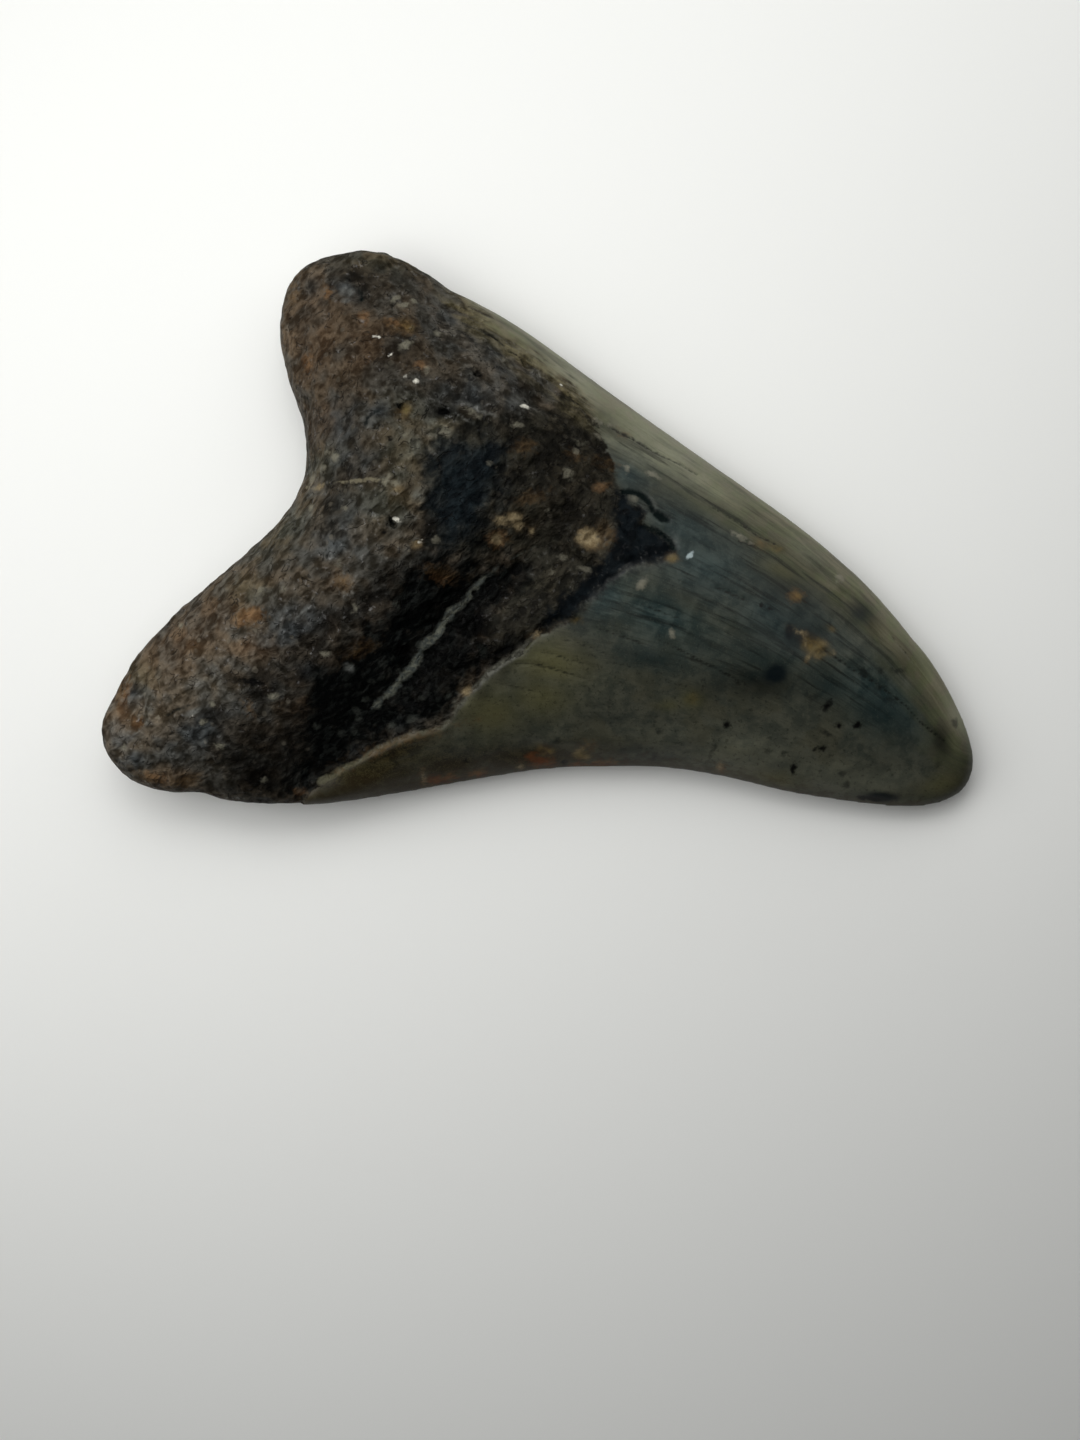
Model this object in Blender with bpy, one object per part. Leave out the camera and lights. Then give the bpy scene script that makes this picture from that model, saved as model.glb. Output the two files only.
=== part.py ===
"""A megalodon tooth, lying on its flat labial face with the lingual face up.

The tooth is one closed body. Its outline is drawn on the plane of its widest
level and its two faces are height fields over that outline: the lingual face
rises to a ridge that runs round the root's two lobes and down the crown, and
the labial face is flat where the tooth rests. The enamel stands a little proud
of the bourlette, the dark band between the root and the crown.

Lengths in this file are millimetres until the mesh is made. +X points along
the tooth towards its tip, +Y towards the mesial edge and +Z out of the lingual
face. The origin is below the middle of the tooth, on the resting plane.
"""

import math

import bpy
import numpy as np
from mathutils import Vector, noise
from mathutils.geometry import delaunay_2d_cdt

MM = 0.001

# Levels of the rim, where the tooth is widest, above the resting plane.
ROOT_RIM = 7.0
CROWN_RIM = 3.2

# Heights of the ridge that carries the lingual face.
TORUS_HEIGHT = 22.5
LOBE_HEIGHT = 13.0
CROWN_BASE_HEIGHT = 18.5
TIP_HEIGHT = 6.5

# Relief on the lingual face.
ENAMEL_LEDGE = 0.6
ENAMEL_LEDGE_HALF_WIDTH = 0.45
BASAL_VALLEY_DEPTH = 3.6
BASAL_VALLEY_WIDTH = 4.2
NECK_VALLEY_DEPTH = 1.1
NECK_VALLEY_WIDTH = 3.4
ROOT_LUMP_HEIGHT = 0.6
ROOT_LUMP_SIZE = 6.0
CROWN_WAVE_HEIGHT = 0.12
CROWN_WAVE_SIZE = 11.0

# The cross-section rises from the rim to the ridge as (1 - u^2)^k, with u the
# share of the way out to the edge: a half ellipse is 0.5, a sharper edge more.
ROOT_SECTION = 0.52
CROWN_SECTION = 0.68
RIDGE_BLEND = 2.0
RIM_RELIEF_FADE = 3.0

# Relief on the labial face. It rests on two flat patches, one on the root and
# one on the crown, with a shallow hollow between them at the enamel's end.
TIP_LIFT = 1.2
LOBE_LIFT = 1.0
LABIAL_LUMP_HEIGHT = 0.6
LABIAL_LUMP_SIZE = 9.0
LABIAL_NECK_DEPTH = 0.6
LABIAL_NECK_WIDTH = 3.0
LABIAL_ROUNDING = 1.3
REST_PATCH_MARGIN = 6.0
REST_PATCHES = [((-24.5, -9.7), 9.0), ((19.5, -12.7), 9.0)]

# Spacing of the mesh.
OUTLINE_STEP = 1.6
LINGUAL_STEP = 1.55
LABIAL_STEP = 2.5
LINGUAL_INSETS = (0.35, 1.0, 2.1, 3.5)
LABIAL_INSETS = (0.6, 1.9, 4.0)

# The outline, counter-clockwise, starting where the upper lobe meets the crown.
BASAL_MARGIN = [
    (-11.5, 31.3), (-14.7, 33.4), (-18.7, 35.4), (-22.9, 36.2), (-27.4, 35.5),
    (-31.3, 33.8), (-33.4, 30.2), (-34.0, 25.3), (-32.8, 19.3), (-31.0, 13.9),
    (-30.5, 9.8), (-30.7, 6.5), (-32.5, 2.6), (-36.4, -1.6), (-41.1, -5.7),
    (-46.7, -10.4), (-52.2, -16.0), (-55.4, -21.5), (-57.2, -25.9), (-56.3, -29.9),
    (-53.1, -33.0), (-48.5, -34.5),
]
DISTAL_EDGE = [
    (-44.3, -34.5), (-41.3, -35.5), (-35.5, -36.0), (-28.2, -35.8), (-19.5, -34.6),
    (-10.5, -33.0), (0.5, -31.3), (8.5, -31.0), (16.5, -31.1), (24.5, -32.3),
    (32.5, -34.2), (40.5, -35.5), (47.0, -36.2), (51.8, -36.0), (55.6, -34.4),
]
MESIAL_EDGE = [
    (57.2, -31.1), (56.4, -26.5), (53.7, -20.7), (49.2, -13.9), (43.0, -6.8),
    (34.3, 0.7), (21.9, 9.5), (10.3, 17.7), (-1.6, 26.3), (-8.6, 30.1),
]
OUTLINE = BASAL_MARGIN + DISTAL_EDGE + MESIAL_EDGE

# A line across the tooth where the crown begins, from edge to edge.
CROWN_BASE = ((-11.5, 31.3), (-29.0, -35.6))

# Ridge round the root: place and height, from the lower lobe to the upper one.
ROOT_RIDGE = [
    (-51.0, -26.2, LOBE_HEIGHT), (-42.0, -19.3, 16.0), (-32.0, -11.3, 19.5),
    (-23.5, -4.7, 21.8), (-18.0, 1.5, TORUS_HEIGHT), (-17.4, 9.3, 22.0),
    (-19.1, 17.9, 19.6), (-21.7, 25.7, 16.0), (-23.3, 31.3, LOBE_HEIGHT),
]
# Ridge down the crown, from the torus to the tip.
CROWN_RIDGE = [
    (-18.0, 1.5, TORUS_HEIGHT), (-8.5, -0.7, 20.6), (2.5, -3.3, CROWN_BASE_HEIGHT),
    (14.0, -7.7, 17.2), (25.5, -13.9, 15.2), (36.0, -20.3, 12.6),
    (45.5, -26.1, 9.4), (52.1, -29.9, TIP_HEIGHT),
]

# Where the enamel ends on the lingual face, from the mesial to the distal edge.
ENAMEL_LINE = [
    (-12.0, 31.9), (-8.7, 28.9), (-4.9, 25.0), (0.0, 20.1), (3.9, 16.3),
    (7.5, 11.9), (9.6, 7.2), (11.5, 2.9), (15.1, -0.7), (17.1, -3.3),
    (15.1, -5.0), (9.9, -5.9), (6.5, -9.3), (2.3, -13.1), (-2.0, -15.6),
    (-7.1, -19.7), (-10.9, -24.7), (-17.4, -27.4), (-22.9, -30.2), (-29.0, -33.7),
    (-32.0, -36.1),
]
# Floors of the two hollows that part the root from the bourlette.
BASAL_VALLEY = [(-29.0, -31.2), (-20.3, -22.1), (-13.5, -14.5), (-7.1, -8.3), (-0.5, -4.3)]
NECK_VALLEY = [(-11.3, 28.3), (-12.5, 19.0), (-13.1, 11.1), (-11.1, 4.7)]

# Where the enamel ends on the labial face.
LABIAL_ENAMEL_LINE = [(-12.0, 32.1), (-8.0, 18.3), (-6.5, 2.3), (-12.5, -15.7), (-30.0, -36.5)]

# Pits in the root: centre, radius and depth.
PITS = [
    ((-18.4, -0.5), 0.85, 1.3),
    ((-17.3, 13.7), 0.75, 0.8),
    ((-20.7, 11.9), 1.0, 0.5),
    ((-7.9, 18.9), 0.5, 0.6),
    ((-5.1, -2.3), 0.8, 0.5),
    ((6.3, -2.3), 1.1, 0.5),
]
PIT_SIDES = 8

FOSSIL_COLOUR = (0.052, 0.044, 0.032, 1.0)
FOSSIL_ROUGHNESS = 0.42


# ---- plane geometry -------------------------------------------------------

def catmull_rom(points, closed, per_span=12):
    """Return a dense smooth curve through the given points."""
    points = np.asarray(points, dtype=float)
    count = len(points)
    spans = count if closed else count - 1
    curve = []
    for span in range(spans):
        if closed:
            a, b, c, d = (points[(span + k) % count] for k in (-1, 0, 1, 2))
        else:
            a, b, c, d = (points[min(max(span + k, 0), count - 1)] for k in (-1, 0, 1, 2))
        for step in range(per_span):
            t = step / per_span
            curve.append(0.5 * (2 * b + (c - a) * t
                                + (2 * a - 5 * b + 4 * c - d) * t ** 2
                                + (3 * b - a - 3 * c + d) * t ** 3))
    if not closed:
        curve.append(points[-1])
    return np.array(curve)


def resample(curve, spacing, closed):
    """Return points an even distance apart along a dense curve."""
    path = np.vstack([curve, curve[:1]]) if closed else curve
    lengths = np.concatenate([[0.0], np.cumsum(np.linalg.norm(np.diff(path, axis=0), axis=1))])
    pieces = max(3, round(lengths[-1] / spacing))
    marks = np.linspace(0.0, lengths[-1], pieces + 1)
    if closed:
        marks = marks[:-1]
    return np.column_stack([np.interp(marks, lengths, path[:, axis]) for axis in range(path.shape[1])])


def nearest_on_path(places, path, closed=False):
    """Return the distance to a path, the values carried there and the side.

    The path's columns after the second are carried values, such as a height.
    The side is positive on the path's left.
    """
    starts = path if closed else path[:-1]
    ends = np.roll(path, -1, axis=0) if closed else path[1:]
    along = (ends - starts)[:, :2]
    gap = places[:, None, :] - starts[None, :, :2]
    share = (gap * along).sum(axis=2) / np.maximum((along ** 2).sum(axis=1), 1e-12)
    share = np.clip(share, 0.0, 1.0)
    away = gap - share[:, :, None] * along
    distance = np.sqrt((away ** 2).sum(axis=2))
    best = distance.argmin(axis=1)
    rows = np.arange(len(places))
    carried = starts[best, 2:] + share[rows, best][:, None] * (ends[best, 2:] - starts[best, 2:])
    cross = along[best, 0] * away[rows, best, 1] - along[best, 1] * away[rows, best, 0]
    return distance[rows, best], carried, np.sign(cross)


def smoothstep(low, high, value):
    share = np.clip((value - low) / (high - low), 0.0, 1.0)
    return share * share * (3.0 - 2.0 * share)


def quarter_round(share):
    """Rise steeply from 0 and level out at 1, as a quarter circle does."""
    left = 1.0 - np.clip(share, 0.0, 1.0)
    return np.sqrt(1.0 - left * left)


def lumps(places, size, layer):
    """Return smooth natural unevenness, about -1 to 1."""
    return np.array([noise.fractal(Vector((x / size, y / size, layer)), 1.0, 2.0, 3)
                     for x, y in places])


# ---- the fields that shape the tooth --------------------------------------

outline = catmull_rom(OUTLINE, closed=True)
root_ridge = catmull_rom(ROOT_RIDGE, closed=False)
crown_ridge = catmull_rom(CROWN_RIDGE, closed=False)
enamel_line = catmull_rom(ENAMEL_LINE, closed=False)
basal_valley = catmull_rom(BASAL_VALLEY, closed=False)
neck_valley = catmull_rom(NECK_VALLEY, closed=False)
labial_enamel_line = catmull_rom(LABIAL_ENAMEL_LINE, closed=False)


def inset_of(places):
    """Distance from the outline, positive inside the tooth."""
    distance, _, side = nearest_on_path(places, outline, closed=True)
    return distance * side


def past_crown_base(places):
    """Distance past the line where the crown begins, towards the tip."""
    start, end = (np.array(point) for point in CROWN_BASE)
    along = (end - start) / np.linalg.norm(end - start)
    return (places[:, 0] - start[0]) * -along[1] + (places[:, 1] - start[1]) * along[0]


def rim_height(places):
    return ROOT_RIM + (CROWN_RIM - ROOT_RIM) * smoothstep(-9.0, 12.0, past_crown_base(places))


def broad_lingual_height(places, inset):
    """The lingual face's large form: from the rim up to the ridges."""
    root_reach, root_crest, _ = nearest_on_path(places, root_ridge)
    crown_reach, crown_crest, _ = nearest_on_path(places, crown_ridge)
    root_weight = 1.0 / (root_reach ** 2 + RIDGE_BLEND ** 2) ** 2
    crown_weight = 1.0 / (crown_reach ** 2 + RIDGE_BLEND ** 2) ** 2
    crest = (root_crest[:, 0] * root_weight + crown_crest[:, 0] * crown_weight)
    crest /= root_weight + crown_weight
    reach = np.minimum(root_reach, crown_reach)
    away = reach / np.maximum(reach + np.maximum(inset, 0.0), 1e-9)
    crown_share = smoothstep(-6.0, 22.0, past_crown_base(places))
    section = ROOT_SECTION + (CROWN_SECTION - ROOT_SECTION) * crown_share
    rim = rim_height(places)
    return rim + (crest - rim) * (1.0 - away ** 2) ** section


def lingual_relief(places, inset):
    """What the lingual face adds to its large form: hollows, the enamel's ledge, lumps."""
    inside = smoothstep(0.0, RIM_RELIEF_FADE, inset)
    valley_gap, _, _ = nearest_on_path(places, basal_valley)
    neck_gap, _, _ = nearest_on_path(places, neck_valley)
    line_gap, _, line_side = nearest_on_path(places, enamel_line)
    enamel = smoothstep(-ENAMEL_LEDGE_HALF_WIDTH, ENAMEL_LEDGE_HALF_WIDTH, line_gap * line_side)
    hollow = BASAL_VALLEY_DEPTH * np.exp(-(valley_gap / BASAL_VALLEY_WIDTH) ** 2)
    hollow += NECK_VALLEY_DEPTH * np.exp(-(neck_gap / NECK_VALLEY_WIDTH) ** 2)
    uneven = ROOT_LUMP_HEIGHT * lumps(places, ROOT_LUMP_SIZE, 3.1) * (1.0 - enamel)
    uneven += CROWN_WAVE_HEIGHT * lumps(places, CROWN_WAVE_SIZE, 8.4) * enamel
    return inside * (uneven - hollow + ENAMEL_LEDGE * (enamel - 0.5))


def pit_depth(places):
    depth = np.zeros(len(places))
    for centre, radius, deepest in PITS:
        gap = np.linalg.norm(places - np.array(centre), axis=1)
        depth += deepest * (1.0 - smoothstep(0.3 * radius, 1.05 * radius, gap))
    return depth


def labial_height(places, inset):
    """The labial face: rounded at the rim, and flat where it rests."""
    rim = rim_height(places)
    edge = rim * (1.0 - quarter_round(inset / (LABIAL_ROUNDING * rim)))
    tip_gap = np.linalg.norm(places - np.array(MESIAL_EDGE[0]), axis=1)
    lobe_gap = np.minimum(np.linalg.norm(places - np.array(ROOT_RIDGE[0][:2]), axis=1),
                          np.linalg.norm(places - np.array(ROOT_RIDGE[-1][:2]), axis=1))
    lift = TIP_LIFT * (1.0 - smoothstep(2.0, 20.0, tip_gap))
    lift += LOBE_LIFT * (1.0 - smoothstep(2.0, 14.0, lobe_gap))
    lift += LABIAL_LUMP_HEIGHT * np.maximum(lumps(places, LABIAL_LUMP_SIZE, 5.7), 0.0)
    neck_gap, _, _ = nearest_on_path(places, labial_enamel_line)
    lift += LABIAL_NECK_DEPTH * np.exp(-(neck_gap / LABIAL_NECK_WIDTH) ** 2)
    for centre, radius in REST_PATCHES:
        gap = np.linalg.norm(places - np.array(centre), axis=1)
        lift *= smoothstep(radius, radius + REST_PATCH_MARGIN, gap)
    return edge + lift * smoothstep(0.0, RIM_RELIEF_FADE, inset)


# ---- the mesh --------------------------------------------------------------

def ring_inside(ring, inset):
    """Move a closed ring of points inwards along its own normals."""
    ahead = np.roll(ring, -1, axis=0) - np.roll(ring, 1, axis=0)
    ahead /= np.linalg.norm(ahead, axis=1)[:, None]
    inward = np.column_stack([-ahead[:, 1], ahead[:, 0]])
    return ring + inset * inward


def hexagonal_grid(step, clear):
    """Return an even triangular grid inside the outline."""
    low = outline.min(axis=0)
    high = outline.max(axis=0)
    row_gap = step * math.sqrt(3.0) / 2.0
    grid = []
    for row, y in enumerate(np.arange(low[1], high[1], row_gap)):
        start = low[0] + (0.5 * step if row % 2 else 0.0)
        grid += [(x, y) for x in np.arange(start, high[0], step)]
    grid = np.array(grid)
    return grid[inset_of(grid) > clear]


def thin_near(grid, placed, gap):
    """Drop the grid's points that crowd points already placed."""
    near = np.sqrt(((grid[:, None, :] - placed[None, :, :]) ** 2).sum(axis=2)).min(axis=1)
    return grid[near > gap]


def feature_points(last_inset):
    """Points that keep the enamel's ledge and the pits crisp."""
    line = resample(enamel_line, OUTLINE_STEP, closed=False)
    ahead = np.gradient(line, axis=0)
    ahead /= np.linalg.norm(ahead, axis=1)[:, None]
    across = np.column_stack([-ahead[:, 1], ahead[:, 0]])
    placed = [line - ENAMEL_LEDGE_HALF_WIDTH * across, line + ENAMEL_LEDGE_HALF_WIDTH * across]
    turns = np.linspace(0.0, 2.0 * math.pi, PIT_SIDES, endpoint=False)
    circle = np.column_stack([np.cos(turns), np.sin(turns)])
    for centre, radius, _ in PITS:
        placed.append(np.array([centre]))
        placed.append(np.array(centre) + 0.45 * radius * circle)
        placed.append(np.array(centre) + 1.1 * radius * circle)
    placed = np.vstack(placed)
    return placed[inset_of(placed) > last_inset + 0.6]


def cover(rim, insets, inner):
    """Join the rim, its inner rings and the points inside into triangles."""
    rings = [rim] + [ring_inside(rim, inset) for inset in insets]
    count = len(rim)
    triangles = []
    for level in range(len(insets)):
        for here in range(count):
            after = (here + 1) % count
            a, b = level * count + here, level * count + after
            c, d = a + count, b + count
            triangles += [(a, b, d), (a, d, c)]
    last = rings[-1]
    plane = [Vector(point) for point in np.vstack([last, inner])]
    filled = delaunay_2d_cdt(plane, [], [list(range(count))], 1, 1e-6)
    kept, faces, origins = filled[0], filled[2], filled[3]
    if len(kept) != len(plane):
        raise RuntimeError("points of the face fell on one another")
    base = (len(rings) - 1) * count
    for face in faces:
        triangles.append(tuple(base + origins[corner][0] for corner in face))
    return np.vstack(rings + [inner]), triangles


def settle(heights, triangles, fixed, rounds):
    """Even out the heights between neighbours, except at the fixed points."""
    pairs = np.array([(face[k], face[k - 1]) for face in triangles for k in range(3)])
    pairs = np.vstack([pairs, pairs[:, ::-1]])
    count = np.bincount(pairs[:, 0], minlength=len(heights))
    for _ in range(rounds):
        total = np.bincount(pairs[:, 0], weights=heights[pairs[:, 1]], minlength=len(heights))
        heights = np.where(fixed, heights, 0.5 * heights + 0.5 * total / count)
    return heights


def lingual_face(rim):
    last = LINGUAL_INSETS[-1]
    features = feature_points(last)
    grid = hexagonal_grid(LINGUAL_STEP, last + 0.6 * LINGUAL_STEP)
    inner = np.vstack([features, thin_near(grid, features, 0.6 * LINGUAL_STEP)])
    places, triangles = cover(rim, LINGUAL_INSETS, inner)
    inset = inset_of(places)
    heights = broad_lingual_height(places, inset)
    heights = settle(heights, triangles, fixed=inset < 1.5, rounds=10)
    return places, heights + lingual_relief(places, inset) - pit_depth(places), triangles


def labial_face(rim):
    last = LABIAL_INSETS[-1]
    inner = hexagonal_grid(LABIAL_STEP, last + 0.6 * LABIAL_STEP)
    places, triangles = cover(rim, LABIAL_INSETS, inner)
    return places, labial_height(places, inset_of(places)), triangles


def build_tooth():
    rim = resample(outline, OUTLINE_STEP, closed=True)
    top, top_heights, top_triangles = lingual_face(rim)
    under, under_heights, under_triangles = labial_face(rim)
    rim_levels = rim_height(rim)
    count = len(rim)
    top_heights[:count] = rim_levels
    corners = np.vstack([np.column_stack([top, top_heights]),
                         np.column_stack([under[count:], under_heights[count:]])])
    shift = len(top) - count
    faces = list(top_triangles)
    for face in under_triangles:
        faces.append(tuple(corner if corner < count else corner + shift for corner in face[::-1]))
    mesh = bpy.data.meshes.new("tooth")
    mesh.from_pydata((corners * MM).tolist(), [], faces)
    mesh.validate()
    mesh.shade_smooth()
    return mesh


def fossil_material():
    material = bpy.data.materials.new("fossil")
    material.use_nodes = True
    shader = material.node_tree.nodes["Principled BSDF"]
    shader.inputs["Base Color"].default_value = FOSSIL_COLOUR
    shader.inputs["Roughness"].default_value = FOSSIL_ROUGHNESS
    shader.inputs["Metallic"].default_value = 0.0
    return material


for old in list(bpy.data.objects):
    bpy.data.objects.remove(old, do_unlink=True)

tooth_mesh = build_tooth()
tooth_mesh.materials.append(fossil_material())
tooth = bpy.data.objects.new("tooth", tooth_mesh)
bpy.context.scene.collection.objects.link(tooth)
print("tooth:", len(tooth_mesh.vertices), "points,", len(tooth_mesh.polygons), "triangles")
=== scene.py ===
# %% [markdown]
# # A megalodon tooth on a pale table
#
# The tooth is one fossil, but it shows three finishes. The root is porous and
# brown-black, the crown wears a thin coat of smooth enamel, and between them
# lies the bourlette, a dark band where the enamel never grew. This lesson takes
# the packed solid as a fixed frame, lays a fine skin over it, carves the small
# relief that a solid of a few thousand triangles can't hold, and then mixes the
# three finishes in one material.

import math

import bmesh
import bpy
import numpy as np
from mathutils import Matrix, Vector, noise


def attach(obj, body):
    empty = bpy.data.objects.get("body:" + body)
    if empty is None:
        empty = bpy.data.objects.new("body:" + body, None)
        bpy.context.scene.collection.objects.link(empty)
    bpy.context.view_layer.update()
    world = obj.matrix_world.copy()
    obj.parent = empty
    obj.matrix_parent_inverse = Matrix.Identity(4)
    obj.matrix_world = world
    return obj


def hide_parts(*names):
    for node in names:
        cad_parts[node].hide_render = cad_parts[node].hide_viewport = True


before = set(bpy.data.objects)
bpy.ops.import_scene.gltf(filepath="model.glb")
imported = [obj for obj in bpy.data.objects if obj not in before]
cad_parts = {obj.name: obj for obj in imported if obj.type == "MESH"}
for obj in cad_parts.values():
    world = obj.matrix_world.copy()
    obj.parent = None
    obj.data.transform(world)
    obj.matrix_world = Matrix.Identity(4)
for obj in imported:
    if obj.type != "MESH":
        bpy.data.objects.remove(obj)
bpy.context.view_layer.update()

MM = 0.001
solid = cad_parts["tooth"]

# %% [markdown]
# ## The view
# A flat thing on a table is best seen from straight above. A camera looks down
# its own -Z axis, so it needs no rotation at all: only its height and its place
# over the table matter. It stands a little towards -Y of the tooth, which leaves
# a stretch of empty table in front of it.

# %% Camera
CAMERA_HEIGHT = 268.4
CAMERA_PLACE = (0.0, -25.0)
LENS = 50.0
SENSOR_WIDTH = 36.0
NEAREST = 0.01

camera_data = bpy.data.cameras.new("camera")
camera_data.lens = LENS
camera_data.sensor_width = SENSOR_WIDTH
camera_data.clip_start = NEAREST
camera = bpy.data.objects.new("camera", camera_data)
camera.location = (CAMERA_PLACE[0] * MM, CAMERA_PLACE[1] * MM, CAMERA_HEIGHT * MM)
bpy.context.scene.collection.objects.link(camera)
bpy.context.scene.camera = camera
print("camera", CAMERA_HEIGHT, "mm above the table")

# %% [markdown]
# ## The shader words
# Node trees are easier to read as sums. This small class wraps one output of a
# node, and Python's own operators add the Math nodes, so that `1 - mask` or
# `grain * 0.3 + 0.1` can be written down as such. Everything else, such as a
# noise or a mix, comes from one method that takes the node's type, its settings
# and the values or links of its sockets.

# %% A socket that can be added and multiplied
def add_node(tree, kind, settings=None, sockets=None, result=0):
    """Add a node of a type, set it up, feed its sockets and return one result."""
    made = tree.nodes.new("ShaderNode" + kind)
    for name, value in (settings or {}).items():
        setattr(made, name, value)
    for name, value in (sockets or {}).items():
        if isinstance(value, Wire):
            tree.links.new(value.socket, made.inputs[name])
        else:
            made.inputs[name].default_value = value
    return Wire(tree, made.outputs[result]) if made.outputs else None


class Wire:
    """One output of a node. Operators on it add Math nodes to its tree."""

    def __init__(self, tree, socket):
        self.tree = tree
        self.socket = socket

    def node(self, kind, settings=None, sockets=None, result=0):
        return add_node(self.tree, kind, settings, sockets, result)

    def math(self, operation, *values):
        return self.node("Math", {"operation": operation}, dict(enumerate(values)))

    def __add__(self, other):
        return self.math("ADD", self, other)

    def __radd__(self, other):
        return self.math("ADD", other, self)

    def __sub__(self, other):
        return self.math("SUBTRACT", self, other)

    def __rsub__(self, other):
        return self.math("SUBTRACT", other, self)

    def __mul__(self, other):
        return self.math("MULTIPLY", self, other)

    def __rmul__(self, other):
        return self.math("MULTIPLY", other, self)

    def most(self, other):
        return self.math("MAXIMUM", self, other)

    def size(self):
        """The value without its sign."""
        return self.most(0.0 - self)

    def step(self, low, high):
        """Ease from 0 at low to 1 at high."""
        return self.node("MapRange", {"interpolation_type": "SMOOTHSTEP"},
                         {"Value": self, "From Min": low, "From Max": high})


print("shader words:", ", ".join(word for word in vars(Wire) if not word.startswith("_")))

# %% [markdown]
# ## Table and light
# The table is a plain pale sheet. It could be a cloth or a curved backdrop, but
# the tooth lies on it and nothing else of it is seen, so a flat square is enough.

# %% Table
TABLE_SIZE = 4.0
TABLE_COLOUR = (0.80, 0.81, 0.80, 1.0)
TABLE_ROUGHNESS = 0.55

pale = bpy.data.materials.new("pale table")
pale.use_nodes = True
pale.node_tree.nodes["Principled BSDF"].inputs["Base Color"].default_value = TABLE_COLOUR
pale.node_tree.nodes["Principled BSDF"].inputs["Roughness"].default_value = TABLE_ROUGHNESS
bpy.ops.mesh.primitive_plane_add(size=TABLE_SIZE, location=(0.0, 0.0, 0.0))
table = bpy.context.object
table.name = "table"
table.data.materials.append(pale)
print("table", TABLE_SIZE, "m wide")

# %% [markdown]
# The light comes through broad soft sheets that hang quite near, to the left and
# on the far side, so the table fades towards the near right corner. The flanks
# that face the sheets catch a sheen, those that face away stay dark, and the
# shadow is a narrow soft line under the near edge. One small lamp would make it
# hard, and a bright sky would wash it out.

# %% Soft sheets of light
TOOTH = Vector((0.0, 0.0, 0.0))
FAR_CORNER = Vector((-0.01, 0.04, 0.0))
# Each row: bearing and height in degrees, distance and size in metres, spread in degrees,
# power in watts, and where it aims.
SHEETS = {
    "sheet left": (180.0, 60.0, 0.20, 0.30, 180.0, 0.265, TOOTH),
    "sheet far right": (60.0, 40.0, 0.20, 0.30, 180.0, 0.254, TOOTH),
    "sheet far left": (170.0, 50.0, 0.25, 0.20, 110.0, 0.103, FAR_CORNER),
    "sheet far": (100.0, 50.0, 0.30, 0.25, 70.0, 0.068, FAR_CORNER),
}
SHEET_COLOUR = (1.0, 0.995, 0.975)
ROOM_COLOUR = (0.93, 0.97, 1.0, 1.0)
ROOM_GLOW = 0.005


def hang_sheet(name, bearing, height, distance, size, spread, power, aim):
    """Hang a square light at a compass bearing and a height, facing its aim."""
    data = bpy.data.lights.new(name, "AREA")
    data.shape = "SQUARE"
    data.size = size
    data.spread = math.radians(spread)
    data.energy = power
    data.color = SHEET_COLOUR
    light = bpy.data.objects.new(name, data)
    bearing, height = math.radians(bearing), math.radians(height)
    flat = math.cos(height)
    place = Vector((flat * math.cos(bearing), flat * math.sin(bearing), math.sin(height))) * distance
    light.location = place
    light.rotation_euler = (aim - place).to_track_quat("-Z", "Y").to_euler()
    light.visible_camera = False
    bpy.context.scene.collection.objects.link(light)
    return light


sheets = [hang_sheet(name, *where) for name, where in SHEETS.items()]
world = bpy.data.worlds.new("room")
world.use_nodes = True
world.node_tree.nodes["Background"].inputs["Color"].default_value = ROOM_COLOUR
world.node_tree.nodes["Background"].inputs["Strength"].default_value = ROOM_GLOW
bpy.context.scene.world = world
bpy.context.scene.view_settings.view_transform = "Standard"
print(len(sheets), "sheets of light")

# %% [markdown]
# ## A fine skin
# The solid's triangles are about a millimetre and a half across. Subdividing them
# would keep their uneven pattern. A voxel remesh lays an even net of small
# squares over the solid instead, and a few rounds of smoothing melt the old
# facets away without moving the form. A finer net would draw sharper marks, but
# this step already gives nearly 200,000 triangles, the most that we want.

# %% Remesh and relax
SKIN_STEP = 0.41
RELAX_ROUNDS = 9
RELAX_SHARE = 0.5
WELD = 1e-6


def fine_skin(source, name):
    """Return a dense, even copy of the solid as a new object."""
    mesh = source.data.copy()
    work = bmesh.new()
    work.from_mesh(mesh)
    bmesh.ops.remove_doubles(work, verts=work.verts, dist=WELD)
    work.to_mesh(mesh)
    work.free()
    rough = bpy.data.objects.new(name, mesh)
    bpy.context.scene.collection.objects.link(rough)
    net = rough.modifiers.new("even net", "REMESH")
    net.mode = "VOXEL"
    net.voxel_size = SKIN_STEP * MM
    relax = rough.modifiers.new("relax", "SMOOTH")
    relax.factor = RELAX_SHARE
    relax.iterations = RELAX_ROUNDS
    evaluated = rough.evaluated_get(bpy.context.evaluated_depsgraph_get())
    skin_mesh = bpy.data.meshes.new_from_object(evaluated)
    rough.modifiers.clear()
    rough.data = skin_mesh
    skin_mesh.materials.clear()
    skin_mesh.shade_smooth()
    return rough


tooth = fine_skin(solid, "megalodon_tooth")
skin = tooth.data
skin.calc_loop_triangles()
print("fine skin:", len(skin.vertices), "points,", len(skin.loop_triangles), "triangles")

# %% [markdown]
# ## Where things are
# Every mark is placed in millimetres on the plan of the tooth, seen from above,
# with +X to the tip. For each point of the skin we work out how far it is from
# the edge of the enamel, from each crack and from each spot. Those distances go
# into the mesh as named fields, for the carving and for the shader. A painted
# image could hold the marks too, but a distance changes smoothly, so it draws a
# crisp line even on a net of squares, and carves and colours in the same place.

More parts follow.
